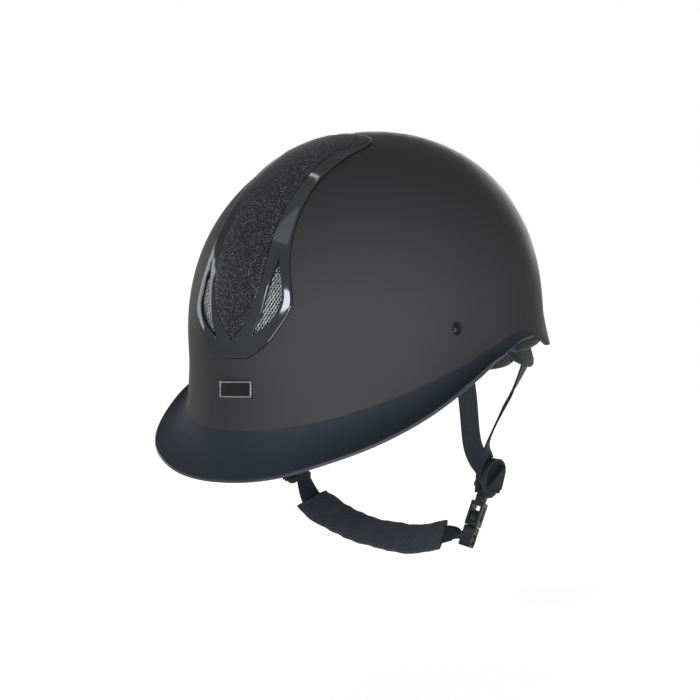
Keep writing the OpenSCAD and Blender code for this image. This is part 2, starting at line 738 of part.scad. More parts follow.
// How far the dial draws each band in from rest
band_travel = 6.2;
band_inner = dial_shaft_r + band_travel + 0.6;
module dial_housing() {
    color("#2e3034")
    difference() {
        translate([0, housing_y, -dial_drop])
            rounded_box(housing_w, housing_h, housing_t, 4);
        for (side = [-1, 1])
            translate([side * (housing_w / 4 + band_core), band_mid_y, -dial_drop])
                cube([housing_w / 2, band_t + 2 * band_play, band_h + 2 * band_play], center = true);
        translate([0, housing_face - 2.5, -dial_drop])
            rotate([-90, 0, 0])
                cylinder(r = dial_shaft_r + pin_gap, h = 5, $fn = 48);
    }
}
grip_count = 18;
module dial() {
    color("#1b1c1e")
    translate([0, housing_face + seat, -dial_drop])
        rotate([-90, 0, 0]) {
            difference() {
                union() {
                    cylinder(r = dial_r, h = dial_t - 1.2, $fn = 96);
                    translate([0, 0, dial_t - 1.2])
                        cylinder(r1 = dial_r, r2 = dial_r - 1.2, h = 1.2, $fn = 96);
                }
                for (k = [0:grip_count - 1])
                    rotate(k * 360 / grip_count)
                        translate([dial_r + 0.5, 0, -1])
                            cylinder(r = 1.3, h = dial_t + 2, $fn = 24);
                translate([0, 0, dial_t - 1])
                    cylinder(r = dial_r * 0.55, h = 2, $fn = 64);
            }
            translate([0, 0, -2.4 - seat])
                cylinder(r = dial_shaft_r, h = 2.4 + seat + 1, $fn = 48);
        }
}
// Each band runs straight out of the housing, then bends round the head and tapers to a round end
band_from_u = 160;
band_to_u = 141;
band_off = flap_out - flap_t - 3;
module band(side) {
    exit_x = housing_w / 2 + band_travel + 1;
    stops = concat(
        [for (x = [band_inner, (band_inner + exit_x) / 2, exit_x]) [x, band_mid_y, -dial_drop]],
        [[exit_x + 5.5, band_mid_y - 1.6, -dial_drop + 0.3]],
        [for (u = [band_from_u - 7, (band_from_u + band_to_u) / 2 - 3, band_to_u]) wall(u,
            -dial_drop + 1.5, band_off)]);
    mirror([side < 0 ? 1 : 0, 0, 0])
        loft(strip_loops(curve(stops, 5), [for (k = [0:5]) [0, 0, 1]], band_h, band_t));
}
module band_left() { color("#26282c") band(1); }
module band_right() { color("#26282c") band(-1); }

// Webbing: a flat strip that follows points, with its width along a chosen direction at each
function spline(a, b, c, d, s) =
    0.5 * (2 * b + (c - a) * s + (2 * a - 5 * b + 4 * c - d) * s * s + (3 * b - a - 3 * c + d) * s * s * s);
function curve(points, n) = let (last = len(points) - 1)
    concat([for (i = [0:last - 1]) for (k = [0:n - 1])
        spline(points[max(0, i - 1)], points[i], points[i + 1], points[min(last, i + 2)], k / n)],
        [points[last]]);
function strip_loops(path, widths, w, t) = let (
    last = len(path) - 1,
    spans = len(widths) - 1)
    [for (i = [0:last]) let (
        along = unit(path[min(last, i + 1)] - path[max(0, i - 1)]),
        f = i / last * spans,
        k = min(spans - 1, floor(f)),
        aim = widths[k] * (1 - f + k) + widths[k + 1] * (f - k),
        // The ends lie along their bars
        x = (i == 0 || i == last ? unit(aim) : across(aim, along)) * w / 2,
        y = unit(cross(along, x)) * t / 2)
        [path[i] + x + y, path[i] - x + y, path[i] - x - y, path[i] + x - y]];
module webbing(points, widths, n = 5) {
    loft(strip_loops(curve(points, n), widths, web_w, web_t));
}

// Divider frames: x to the back, y up and z out. The right one is mirrored.
divider_left_at = [86.5, 5, -101.5];
divider_right_at = [-87, 7.5, -98.7];
div_turn = 84;
div_lean = 12;
div_x = [cos(div_turn), sin(div_turn), 0];
div_out = unit([sin(div_turn), -cos(div_turn), 0] * cos(div_lean) - [0, 0, sin(div_lean)]);
div_up = cross(div_out, div_x);
left_bar_local = [6.2, -7, -9.3];
right_bar_local = [-1, -6.3, -8.3];
function side_point(side, p) =
    (side > 0 ? divider_left_at : mirror_x(divider_right_at)) + div_x * p[0] + div_up * p[1] +
        div_out * p[2];
left_bar = side_point(1, left_bar_local);
right_bar = mirror_x(side_point(-1, right_bar_local));
// The buckle hangs from its own bar along the pull, turned edge-on to the front
socket_bar = [74.4, 10.6, -115.4];
pull = unit([-0.207, -0.395, -0.895]);
buckle_out = across([0.874, 0.336, -0.35], pull);
buckle_x = cross(-pull, buckle_out);
// The strap swings on the right bar so that the plug leaves the socket along the pull
socket_low_y = -socket_len;
grip_point = socket_bar - pull * (socket_low_y + 4);
swing_axis = unit(cross(grip_point - right_bar, pull));
web_along = unit(socket_bar - left_bar);

// Front straps: from the rivet down the pocket, then inward and back to the divider
function front_path(side) = let (
    c = side > 0 ? divider_left_at : mirror_x(divider_right_at),
    shift = c - divider_left_at)
    [in_plane(strap_d, rivet_s, rivet_z + 9),
        in_plane(strap_d, rivet_s + 0.3, rivet_z - 4),
        in_plane(strap_d - 0.4, rivet_s + 3.4, -13),
        in_plane(strap_d - 6.8, rivet_s + 13.6, -37),
        in_plane(89, 7, -71) + shift * 0.6,
        side_point(side, [-13, 17.3, -2.3]),
        side_point(side, [-7.6, 9.4, -seat - web_t / 2]),
        side_point(side, [0.6, -2.4, -seat - web_t / 2])];
front_widths = [strap_back, strap_back, strap_back, strap_back, strap_back, strap_back, div_x, div_x];
module front_strap(side) {
    mirror([side < 0 ? 1 : 0, 0, 0])
        difference() {
            webbing(front_path(side), front_widths, 4);
            place(in_plane(rivet_d, rivet_s, rivet_z), strap_back, [0, 0, 1], strap_out)
                translate([0, 0, -pocket_depth])
                    cylinder(r = rivet_r + pin_gap, h = pocket_depth, $fn = 32);
        }
}
module front_strap_left() { color("#2b303c") front_strap(1); }
module front_strap_right() { color("#2b303c") front_strap(-1); }

// Rear straps: sewn to the nape flap, then down and forward to the divider
rear_u = 132;
rear_off = flap_out - flap_t - seat - web_t / 2 - 0.9;
function rear_path(side) = let (
    c = side > 0 ? divider_left_at : mirror_x(divider_right_at),
    shift = c - divider_left_at)
    [wall(rear_u + 3, -lining_drop - 1.5, rear_off),
        wall(rear_u - 1, -lining_drop - 11, rear_off - 0.9),
        [79.4, 44, -55.5] + shift * 0.4,
        [83.6, 14, -74.5] + shift * 0.8,
        side_point(side, [1, 12, -4.8]),
        side_point(side, [0.3, 6, -2 * seat - web_t * 1.5 - 0.3]),
        side_point(side, [0, -2.6, -2 * seat - web_t * 1.5])];
rear_widths = [[-0.23, 0.51, -0.74], [-0.26, 0.49, -0.75], [-0.72, 0.3, -0.62], [-0.62, 0.5, -0.6],
    [0.1, 0.95, -0.2], div_x, div_x];
module rear_strap(side) {
    mirror([side < 0 ? 1 : 0, 0, 0])
        webbing(rear_path(side), rear_widths, 5);
}
module rear_strap_left() { color("#2b303c") rear_strap(1); }
module rear_strap_right() { color("#2b303c") rear_strap(-1); }

// Dividers: an oval plate with a raised rim, guides for the straps behind it and an aslant lower bar
module oval(grow_by) {
    top_r = divider_r + grow_by;
    foot_r = divider_foot_r + grow_by;
    top_y = divider_len / 2;
    foot_y = -divider_len / 2;
    // The straight flanks run just inside the line that touches both circles
    tilt = asin((top_r - foot_r) / divider_len);
    top_in = top_r - flank_inset;
    foot_in = foot_r - flank_inset;
    translate([0, top_y])
        circle(r = top_r, $fn = 64);
    translate([0, foot_y])
        circle(r = foot_r, $fn = 64);
    polygon([
        [top_in * cos(tilt), top_y - top_in * sin(tilt)],
        [-top_in * cos(tilt), top_y - top_in * sin(tilt)],
        [-foot_in * cos(tilt), foot_y - foot_in * sin(tilt)],
        [foot_in * cos(tilt), foot_y - foot_in * sin(tilt)]]);
}
flank_inset = 0.02;
rim_w = 1.7;
pocket_deep = 2 * web_t + 3 * seat;
pocket_back_t = 1.4;
pocket_half_w = 9.6;
pocket_floor = -8.5;
pocket_floor_t = 1.6;
pocket_top = 6;
lever_gap = 0.35;
lever_t = divider_rim_h - 0.2;
pin_y = -divider_len / 2 - divider_foot_r + 4.6;
pin_z = divider_plate_t + 1.35;
knuckle_w = 7;
ear_w = 2;
bar_len = web_w + 0.8;
lug_t = 1.7;
lug_w = 3.4;
// Direction of the lower bar in a divider's own frame
function bar_dir(side) = let (a = side > 0 ? across(div_x, web_along) : mirror_x(swing_axis))
    unit([a * div_x, a * div_up, a * div_out]);
module divider_half(side) {
    difference() {
        linear_extrude(divider_plate_t + divider_rim_h)
            oval(0);
        translate([0, 0, divider_plate_t])
            linear_extrude(divider_rim_h + 1)
                oval(-rim_w);
        // The rim is open at the foot, where the lever turns
        translate([-divider_r, -divider_len / 2 - divider_foot_r - 1, divider_plate_t])
            cube([2 * divider_r, 5.6, divider_rim_h + 1]);
    }
    // Ears and pin of the lever's hinge
    for (s = [-1, 1])
        translate([s * (knuckle_w / 2 + seat + ear_w / 2) - ear_w / 2, pin_y - 1.5, 0])
            cube([ear_w, 3, pin_z + 1.2]);
    translate([0, pin_y, pin_z])
        rotate([0, 90, 0])
            cylinder(r = lever_pin_r, h = knuckle_w + 2 * seat + ear_w, center = true, $fn = 32);
    // Pocket behind the plate that the straps' ends are caught in
    bar_x = (side > 0 ? left_bar_local : right_bar_local)[0];
    from = min(-pocket_half_w, bar_x - bar_len / 2 - lug_t - 2 * seat);
    to = max(pocket_half_w, bar_x + bar_len / 2 + lug_t + 2 * seat);
    translate([from, pocket_floor, -pocket_deep - pocket_back_t])
        cube([to - from, pocket_top - pocket_floor, pocket_back_t]);
    translate([-divider_foot_r + 2.4, pocket_floor, -pocket_deep - pocket_back_t])
        cube([2 * divider_foot_r - 4.8, pocket_floor_t, pocket_deep + pocket_back_t + 0.5]);
}
module divider_bar(side) {
    at = side > 0 ? left_bar_local : right_bar_local;
    b = bar_dir(side);
    up = across([0, 0, 1], b);
    place(at, b, cross(up, b), up) {
        rotate([0, 90, 0])
            cylinder(r = bar_r, h = bar_len + lug_t, center = true, $fn = 48);
        for (s = [-1, 1])
            translate([s * (bar_len + lug_t) / 2 - lug_t / 2, -lug_w / 2, -lug_w / 2])
                cube([lug_t, lug_w, lug_w / 2 - at[2] - pocket_deep - 0.6]);
    }
}
module divider_frame(side) {
    if (side > 0)
        place(divider_left_at, div_x, div_up, div_out) children();
    else
        mirror([1, 0, 0])
            place(mirror_x(divider_right_at), div_x, div_up, div_out) children();
}
module divider(side) {
    color("#1e2024")
    divider_frame(side) {
        divider_half(side);
        divider_bar(side);
    }
}
module divider_left() { divider(1); }
module divider_right() { divider(-1); }

// Levers: they fill the rim's lower part and end in a slanting thumb bar
slant = 38;
module lever(side) {
    color("#25272b")
    divider_frame(side)
        difference() {
            union() {
                translate([0, 0, divider_plate_t + seat])
                    intersection() {
                        linear_extrude(lever_t)
                            oval(-rim_w - lever_gap);
                        rotate(slant)
                            translate([-20, -40, 0])
                                cube([40, 42.4, lever_t]);
                        translate([-20, pin_y + 1.9, 0])
                            cube([40, 30, lever_t]);
                    }
                // Thumb bar
                intersection() {
                    translate([0, 0, divider_plate_t + seat])
                        linear_extrude(lever_t + 1.5)
                            oval(-rim_w - lever_gap);
                    rotate(slant)
                        translate([-20, 0.2, divider_plate_t + seat])
                            cube([40, 2.2, lever_t + 1.5]);
                }
                translate([-knuckle_w / 2, pin_y, pin_z])
                    rotate([0, 90, 0])
                        cylinder(r = 1.25, h = knuckle_w, $fn = 32);
                translate([-knuckle_w / 2, pin_y, pin_z - 0.6])
                    cube([knuckle_w, 2.6, 1.5]);
            }
            translate([-knuckle_w / 2 - 1, pin_y, pin_z])
                rotate([0, 90, 0])
                    cylinder(r = lever_pin_r + pin_gap, h = knuckle_w + 2, $fn = 32);
        }
}
module lever_left() { lever(1); }
module lever_right() { lever(-1); }

// Buckle frame: x along the web bars, y up the pull, z out. The origin is the socket's web bar.
module buckle_frame() {
    place(socket_bar, buckle_x, -pull, buckle_out)
        children();
}
ring_r = bar_r + 0.25;
doubled_t = 2 * web_t;
// An eye of webbing round a bar that runs along x
module strap_eye() {
    rotate([0, 90, 0])
        linear_extrude(web_w, center = true)
            difference() {
                circle(r = ring_r + web_t, $fn = 48);
                circle(r = ring_r, $fn = 48);
            }
}
module socket_web() {
    left_axis = across(div_x, web_along);
    steps = 6;
    span = norm(socket_bar - left_bar);
    color("#2b303c")
    union() {
        place(left_bar, left_axis, cross(-web_along, left_axis), -web_along)
            strap_eye();
        buckle_frame()
            strap_eye();
        loft([for (k = [0:steps]) let (
            f = k / steps,
            at = left_bar + web_along * (ring_r + web_t / 2 + f * (span - 2 * ring_r - web_t)),
            x = unit(left_axis * (1 - f) + buckle_x * f) * (web_w - 0.6) / 2,
            y = unit(cross(web_along, x)) * (doubled_t - 0.4) / 2)
            [at + x + y, at - x + y, at - x - y, at + x - y]]);
    }
}
socket_low = socket_low_y;
socket_body_top = -ring_r - web_t - 0.5;
cavity_top = socket_body_top - 1.4;
cavity_t = buckle_t - 2 * socket_wall;
module plan_outline(w, top, low, r) {
    translate([-w / 2, low + r])
        square([w, top - low - 2 * r]);
    translate([-w / 2 + r, low])
        square([w - 2 * r, top - low]);
    for (s = [-1, 1])
        for (y = [top - r, low + r])
            translate([s * (w / 2 - r), y])
                circle(r = r, $fn = 32);
}
window_top = cavity_top - 1.2;
window_low = socket_low + 2.6;
socket_ear_t = (buckle_w - web_w) / 2 - 0.4;
module buckle_socket() {
    color("#1e2024")
    buckle_frame()
        difference() {
            union() {
                translate([0, 0, -buckle_t / 2])
                    linear_extrude(buckle_t)
                        plan_outline(buckle_w, socket_body_top, socket_low, 1.6);
                rotate([0, 90, 0])
                    cylinder(r = bar_r, h = buckle_w - 1, center = true, $fn = 48);
                for (s = [-1, 1])
                    translate([s * (buckle_w - socket_ear_t) / 2 - socket_ear_t / 2,
                        socket_body_top - 2, -2.2])
                        cube([socket_ear_t, 4.2 - socket_body_top, 4.4]);
            }
            // Cavity for the tongue and the prongs, open at the mouth
            translate([-buckle_w / 2 + socket_wall, socket_low - 1, -cavity_t / 2])
                cube([buckle_w - 2 * socket_wall, cavity_top - socket_low + 1, cavity_t]);
            // Side windows for the prongs' thumb tabs
            translate([-buckle_w, window_low, -cavity_t / 2])
                cube([2 * buckle_w, window_top - window_low, cavity_t]);
            // Face opening over the tongue
            translate([0, 0, buckle_t / 2 - socket_wall - 1])
                linear_extrude(socket_wall + 2)
                    plan_outline(7, window_top, window_low + 1, 2);
        }
}

// Plug: body with a web bar, and a flat tongue
tongue_w = 4.4;
tongue_t = 3;
tongue_len = 11;
plug_top = socket_low - seat;
plug_low = plug_top - plug_len;
plug_bar_y = plug_top - 8.6;
plug_slot_w = web_w + 0.8;
prong_x = 5.7;
prong_root_y = plug_top - 1.7;
module buckle_plug() {
    color("#1e2024")
    buckle_frame() {
        difference() {
            translate([0, 0, -buckle_t / 2 + 0.4])
                linear_extrude(buckle_t - 0.8)
                    plan_outline(buckle_w - 0.6, plug_top, plug_low, 2.2);
            // Window that the webbing passes round the bar in
            translate([-plug_slot_w / 2, plug_bar_y - ring_r - web_t - 0.7, -buckle_t])
                cube([plug_slot_w, 2 * (ring_r + web_t + 0.6), 2 * buckle_t]);
            // Seats of the prongs' roots
            for (s = [-1, 1]) {
                translate([s * prong_x, prong_root_y, -cavity_t])
                    cylinder(r = prong_root_r + pin_gap, h = 2 * cavity_t, $fn = 32);
                translate([s * prong_x - 1.9, prong_root_y, -cavity_t])
                    cube([3.8, 5, 2 * cavity_t]);
            }
        }
        rotate([0, 90, 0])
            translate([0, plug_bar_y, 0])
                cylinder(r = bar_r, h = plug_slot_w + 2, center = true, $fn = 48);
        translate([-tongue_w / 2, plug_top - 1, -tongue_t / 2])
            cube([tongue_w, tongue_len + 1, tongue_t]);
    }
}

// Prongs: a round root seated in the plug, a springy arm and a head with a thumb tab
prong_h = cavity_t - 1.4;
prong_len = 11.6;
module prong(s) {
    color("#2a2c31")
    buckle_frame()
        translate([s * prong_x, prong_root_y, -prong_h / 2]) {
            cylinder(r = prong_root_r, h = prong_h, $fn = 32);
            translate([-prong_t / 2, 0, 0])
                cube([prong_t, prong_len, prong_h]);
            linear_extrude(prong_h)
                polygon([[s * prong_t / 2 * 0.9, prong_len - 7.2], [s * (buckle_w / 2 - prong_x -
                    0.5), prong_len - 6],
                    [s * (buckle_w / 2 - prong_x - 0.5), prong_len - 3.4], [s * prong_t / 2, prong_len],
                    [-s * prong_t / 2 * 0.9, prong_len], [-s * prong_t / 2 * 0.9, prong_len - 7.2]]);
        }
}
module prong_front() { prong(-1); }
module prong_rear() { prong(1); }

// Chin strap: from the right divider's lower bar, under the chin, to the plug's bar
plug_bar = socket_bar - pull * plug_bar_y;
eye_mid = ring_r + web_t / 2;
chin_leave = across([0.65, -0.05, -0.83], swing_axis);
chin_points = [
    right_bar + chin_leave * eye_mid,
    [-68, 5, -121.1],
    [-52.4, 2, -128.8],
    [-35.5, -1, -134.4],
    [-15.2, -4, -139.1],
    [8.4, -7, -141.3],
    [30.5, -8, -142.1],
    [52.9, -7, -137.9],
    [60.6, -4.2, -137.3],
    plug_bar - buckle_out * eye_mid];
chin_widths = [swing_axis, [0.25, 0.8, 0.5], [0.2, 0.74, 0.64], [0.1, 0.75, 0.66], [0, 0.75, 0.66],
    [0, 0.75, 0.66],
    [0, 0.75, 0.66], [0, 0.76, 0.64], [-0.28, 0.85, 0.3], buckle_x];
module chin_strap() {
    color("#2b303c")
    union() {
        webbing(chin_points, chin_widths, 4);
        place(right_bar, swing_axis, cross([0, 0, 1], swing_axis) / norm(cross([0, 0, 1], swing_axis)),
            across([0, 0, 1], swing_axis))
            strap_eye();
        place(plug_bar, buckle_x, -pull, buckle_out)
            strap_eye();
    }
}

// Chin pad: a sleeve round the strap, swelling in the middle, with rumpled edges
pad_from = 4;
pad_to = 28;
pad_sides = 12;
function pad_loop(i, path, widths) = let (
    last = len(path) - 1,
    spans = len(widths) - 1,
    along = unit(path[i + 1] - path[i - 1]),
    f = i / last * spans,
    k = min(spans - 1, floor(f)),
    aim = widths[k] * (1 - f + k) + widths[k + 1] * (f - k),
    x = across(aim, along),
    y = unit(cross(along, x)),
    q = (i - pad_from) / (pad_to - pad_from),
    full = 1 - 0.3 * pow(abs(2 * q - 1), 6),
    rumple = 0.9 * sin(q * 1500) * (1 - abs(2 * q - 1)),
    w = chin_pad_w / 2 - 1.6 * sin(q * 180) + rumple,
    t = chin_pad_t / 2 * full)
    [for (j = [0:pad_sides - 1]) let (
        c = cos(j * 360 / pad_sides),
        s = sin(j * 360 / pad_sides))
        path[i] + x * w * signed_pow(c, 0.7) + y * t * signed_pow(s, 0.8)];
module chin_pad() {
    path = curve(chin_points, 4);
    color("#2d323e")
    difference() {
        loft([for (i = [pad_from:pad_to]) pad_loop(i, path, chin_widths)]);
        loft([for (i = [pad_from - 1:pad_to + 1])
            strip_loops(curve(chin_points, 4), chin_widths, web_w + 2 * skin_gap, web_t + 2 *
                skin_gap)[i]]);
    }
}

outer_shell();
brim();
impact_liner();
front_panel();
glitter_insert();
vent_mesh_left();
vent_mesh_right();
badge_rim();
badge_plate();
side_rivets();
rivet_washers();
crown_pad();
brow_pad();
side_pad_left();
side_pad_right();
nape_lining();
nape_flap_left();
nape_flap_right();
nape_cradle();
nape_pad();
dial_housing();
dial();
band_left();
band_right();
front_strap_left();
front_strap_right();
rear_strap_left();
rear_strap_right();
divider_left();
divider_right();
lever_left();
lever_right();
socket_web();
buckle_socket();
buckle_plug();
prong_front();
prong_rear();
chin_strap();
chin_pad();
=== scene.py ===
"""Looks of the riding helmet: dense skins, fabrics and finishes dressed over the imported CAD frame.

Shapes are written in millimetres in the CAD frame: front is -Y, the wearer's left is +X, up is +Z.
Angles are in degrees. u turns from the front over the wearer's left to the back, t climbs from the widest
ring to the crown, and m goes from the front over the top. off is a distance out from the shell's face.
"""
import math

import bmesh
import bpy
import numpy as np
from mathutils import Matrix, Vector, noise


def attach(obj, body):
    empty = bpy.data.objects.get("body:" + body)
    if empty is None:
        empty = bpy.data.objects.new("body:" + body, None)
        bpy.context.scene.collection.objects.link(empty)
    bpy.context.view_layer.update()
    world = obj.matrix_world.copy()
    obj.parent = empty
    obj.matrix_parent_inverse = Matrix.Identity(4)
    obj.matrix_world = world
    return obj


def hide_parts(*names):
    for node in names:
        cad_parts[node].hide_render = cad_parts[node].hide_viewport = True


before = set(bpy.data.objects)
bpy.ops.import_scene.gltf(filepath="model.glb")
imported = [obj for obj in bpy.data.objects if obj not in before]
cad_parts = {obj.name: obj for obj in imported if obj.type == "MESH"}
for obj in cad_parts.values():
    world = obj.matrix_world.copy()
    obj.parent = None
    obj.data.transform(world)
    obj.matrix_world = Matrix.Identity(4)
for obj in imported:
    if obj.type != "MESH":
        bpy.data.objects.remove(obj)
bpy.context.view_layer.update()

MM = 0.001
SEAT, SKIN_GAP = 0.3, 0.4  # the clearance of a piece in its seat, and between a skin and its lining
SIDES = ((1, "left"), (-1, "right"))

# The helmet's surface
HALF_W, HALF_L, HEIGHT = 109.7, 135.6, 132.4
EGG, SHIFT = 0.032, 11.3  # how much narrower the front is, and how far back the crown lies
FLARE, FLARE_POWER = 0.056, 1.4
CROWN_ROUND, CROWN_RISE = 1.032, 0.842
SHELL_WALL, LINER_WALL = 3.0, 20.6
RIM_FRONT, RIM_TEMPLE, RIM_EAR, RIM_NAPE = 44.0, 28.0, 5.5, 24.0
LINER_OUT = -SHELL_WALL - SKIN_GAP
LINER_IN = LINER_OUT - LINER_WALL
PAD_OUT = LINER_IN - SKIN_GAP


def sind(a):
    return np.sin(np.radians(a))


def cosd(a):
    return np.cos(np.radians(a))


def unit(v):
    v = np.asarray(v, float)
    return v / np.linalg.norm(v, axis=-1, keepdims=True)


def across(v, along):
    """The part of v that is square to along."""
    v, along = np.asarray(v, float), np.asarray(along, float)
    return unit(v - np.sum(v * along, -1, keepdims=True) * along)


def smooth(stops, v):
    """A smooth curve through [position, value] stops, flat at both ends."""
    x, y = np.array(stops, float).T
    slope = np.zeros(len(x))
    slope[1:-1] = (y[2:] - y[:-2]) / (x[2:] - x[:-2])
    v = np.asarray(v, float)
    i = np.clip(np.searchsorted(x, v, side="right") - 1, 0, len(x) - 2)
    h = x[i + 1] - x[i]
    s = np.clip((v - x[i]) / h, 0, 1)
    q, c = s * s, s**3
    return (
        y[i] * (2 * c - 3 * q + 1) + slope[i] * h * (c - 2 * q + s)
        + y[i + 1] * (3 * q - 2 * c) + slope[i + 1] * h * (c - q)
    )


def points(x, y, z):
    return np.stack(np.broadcast_arrays(x, y, z), -1)


def plan(u, off):
    """The widest ring, seen from above."""
    return (HALF_W + off) * sind(u) * (1 - EGG * cosd(u)), -(HALF_L + off) * cosd(u)


def crown(u, t, off):
    """The dome above the widest ring."""
    x, y = plan(u, off)
    r = np.clip(cosd(t), 0, 1) ** CROWN_ROUND
    return points(x * r, y * r + SHIFT * sind(t), (HEIGHT + off) * np.clip(sind(t), 0, 1) ** CROWN_RISE)


def skirt(u, z, off):
    """The flared wall below the widest ring."""
    x, y = plan(u, off)
    r = 1 + FLARE * np.clip(-z / RIM_FRONT, 0, None) ** FLARE_POWER
    return points(x * r, y * r, z)


def wall(u, z, off):
    """The surface at a height, above or below the widest ring."""
    z = np.asarray(z, float)
    t = np.degrees(np.arcsin(np.clip(np.clip(z, 0, None) / (HEIGHT + off), 0, 1) ** (1 / CROWN_RISE)))
    return np.where((z <= 0)[..., None], skirt(u, np.minimum(z, 0), off), crown(u, t, off))


def over_top(m, x, off):
    """The surface by the angle over the top, m, and the sideways distance, x."""
    a = np.asarray(x, float) / HALF_W
    q = np.sqrt(1 - a * a)
    u = np.degrees(np.arctan2(a, cosd(m) * q))
    t = np.degrees(np.arcsin(np.clip(sind(m) * q, -1, 1)))
    return crown(u, t, off)


def turn(u):
    """The angle from the front, on either side."""
    return np.abs((np.asarray(u, float) + 180) % 360 - 180)


def mirror_x(p, side):
    return np.asarray(p, float) * [side, 1, 1]


RIM_STOPS = [
    [0, -RIM_FRONT], [28, -RIM_FRONT + 3], [58, -RIM_TEMPLE], [80, -(RIM_TEMPLE + RIM_EAR) / 2 + 2],
    [99, -RIM_EAR], [111, -(RIM_EAR + RIM_NAPE) / 2 + 2], [124, -RIM_NAPE + 1], [180, -RIM_NAPE],
]
LINER_RISE, LINER_NAPE = 4.0, 8.0
LINER_STOPS = [[p, z + LINER_RISE] for p, z in RIM_STOPS[:4]] + [
    [99, -RIM_EAR + 1], [124, -LINER_NAPE], [180, -LINER_NAPE],
]


def rim_z(u):
    return smooth(RIM_STOPS, turn(u))


def liner_z(u):
    return smooth(LINER_STOPS, turn(u))


# Meshes
def grid_faces(rows, cols, wrap_rows=False, wrap_cols=True, first=0):
    """Faces over a grid of points that are numbered row by row from first."""
    faces = []
    for r in range(rows if wrap_rows else rows - 1):
        low, high = first + r * cols, first + (r + 1) % rows * cols
        for c in range(cols if wrap_cols else cols - 1):
            after = (c + 1) % cols
            faces.append((low + c, low + after, high + after, high + c))
    return faces


def end_faces(rows, sides, first=0):
    """The faces that close both ends of a tube."""
    end = first + (rows - 1) * sides
    return [tuple(range(first, first + sides)), tuple(range(end, end + sides))]


def place(name, data):
    """A new object in the scene."""
    obj = bpy.data.objects.new(name, data)
    bpy.context.scene.collection.objects.link(obj)
    return obj


def finish_mesh(obj, sharp, weld):
    """Welds, turns all faces outward and smooths up to the sharp angle."""
    bm = bmesh.new()
    bm.from_mesh(obj.data)
    if weld:
        bmesh.ops.remove_doubles(bm, verts=bm.verts, dist=weld * MM)
        bmesh.ops.dissolve_degenerate(bm, edges=bm.edges, dist=weld * MM * 0.5)
    bmesh.ops.recalc_face_normals(bm, faces=bm.faces)
    bm.to_mesh(obj.data)
    bm.free()
    obj.data.shade_smooth()
    obj.data.set_sharp_from_angle(angle=math.radians(sharp))
    obj.data.update()
    return obj


def make(name, verts, faces, uv=None, sharp=35, weld=0.0):
    """A mesh object from points in millimetres. uv holds a pair, in millimetres, for each point."""
    mesh = bpy.data.meshes.new(name)
    mesh.from_pydata((np.asarray(verts, float).reshape(-1, 3) * MM).tolist(), [], faces)
    mesh.update()
    if uv is not None:
        layer = mesh.uv_layers.new(name="UVMap")
        flat = np.asarray(uv, float).reshape(-1, 2)
        index = np.zeros(len(mesh.loops), np.int32)
        mesh.loops.foreach_get("vertex_index", index)
        layer.data.foreach_set("uv", flat[index].astype(np.float32).ravel())
    return finish_mesh(place(name, mesh), sharp, weld)


def tube_grid(name, rows, uv=None, sharp=35):
    """A closed skin over rows of closed loops, with flat ends."""
    rows = np.asarray(rows, float)
    count, sides = rows.shape[:2]
    return make(name, rows, grid_faces(count, sides) + end_faces(count, sides), uv, sharp)


def apply_modifiers(obj):
    bpy.context.view_layer.update()
    deps = bpy.context.evaluated_depsgraph_get()
    mesh = bpy.data.meshes.new_from_object(obj.evaluated_get(deps))
    obj.modifiers.clear()
    obj.data = mesh
    return obj


def cut(obj, cutter):
    """Takes cutter out of obj and deletes cutter."""
    change = obj.modifiers.new("cut", "BOOLEAN")
    change.operation, change.solver, change.object = "DIFFERENCE", "EXACT", cutter
    apply_modifiers(obj)
    bpy.data.objects.remove(cutter)
    return obj


def join(name, objs):
    """Joins meshes that already share a finish."""
    verts, faces, first = [], [], 0
    for o in objs:
        verts += [tuple(o.matrix_world @ v.co) for v in o.data.vertices]
        faces += [tuple(first + i for i in p.vertices) for p in o.data.polygons]
        first += len(o.data.vertices)
        bpy.data.objects.remove(o)
    return make(name, np.array(verts) / MM, faces)


def rounding(d, r):
    """How far a surface lies below its crest at distance d from an edge that is rounded with radius r."""
    d = np.clip(d, 0, r)
    return r - np.sqrt(np.clip(r * r - (r - d) ** 2, 0, None))


def dress(obj, material, *nodes, body="helmet", slot=None):
    """Gives a piece its finish and its body, and hides the CAD nodes that it stands for."""
    obj.data.materials.clear()
    obj.data.materials.append(material)
    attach(obj, body)
    if nodes:
        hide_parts(*nodes)
    return obj


# Materials
class Nodes:
    """Short ways to add the nodes of one tree."""

    def __init__(self, tree):
        self.tree = tree

    def node(self, kind, **values):
        """A node. Each value is a socket to link, an input's number or a setting."""
        n = self.tree.nodes.new("ShaderNode" + kind)
        for key, value in values.items():
            label = key.replace("_", " ")
            if label in n.inputs:
                self.feed(n.inputs[label], value)
            else:
                setattr(n, key, value)
        return n

    def feed(self, target, value):
        if isinstance(value, bpy.types.NodeSocket):
            self.tree.links.new(value, target)
        else:
            target.default_value = value

    def mixed(self, kind, *values, **settings):
        """The result of a node whose inputs are given in their order."""
        n = self.node(kind, **settings)
        for target, value in zip(n.inputs, values):
            self.feed(target, value)
        return n.outputs[0]

    def math(self, operation, *values):
        return self.mixed("Math", *values, operation=operation)

    def seen(self):
        """One for rays from the camera, from gloss and through glass, and zero for the rest."""
        path = self.node("LightPath").outputs
        first = self.math("MAXIMUM", path["Is Camera Ray"], path["Is Glossy Ray"])
        return self.math("MAXIMUM", first, path["Is Transmission Ray"])


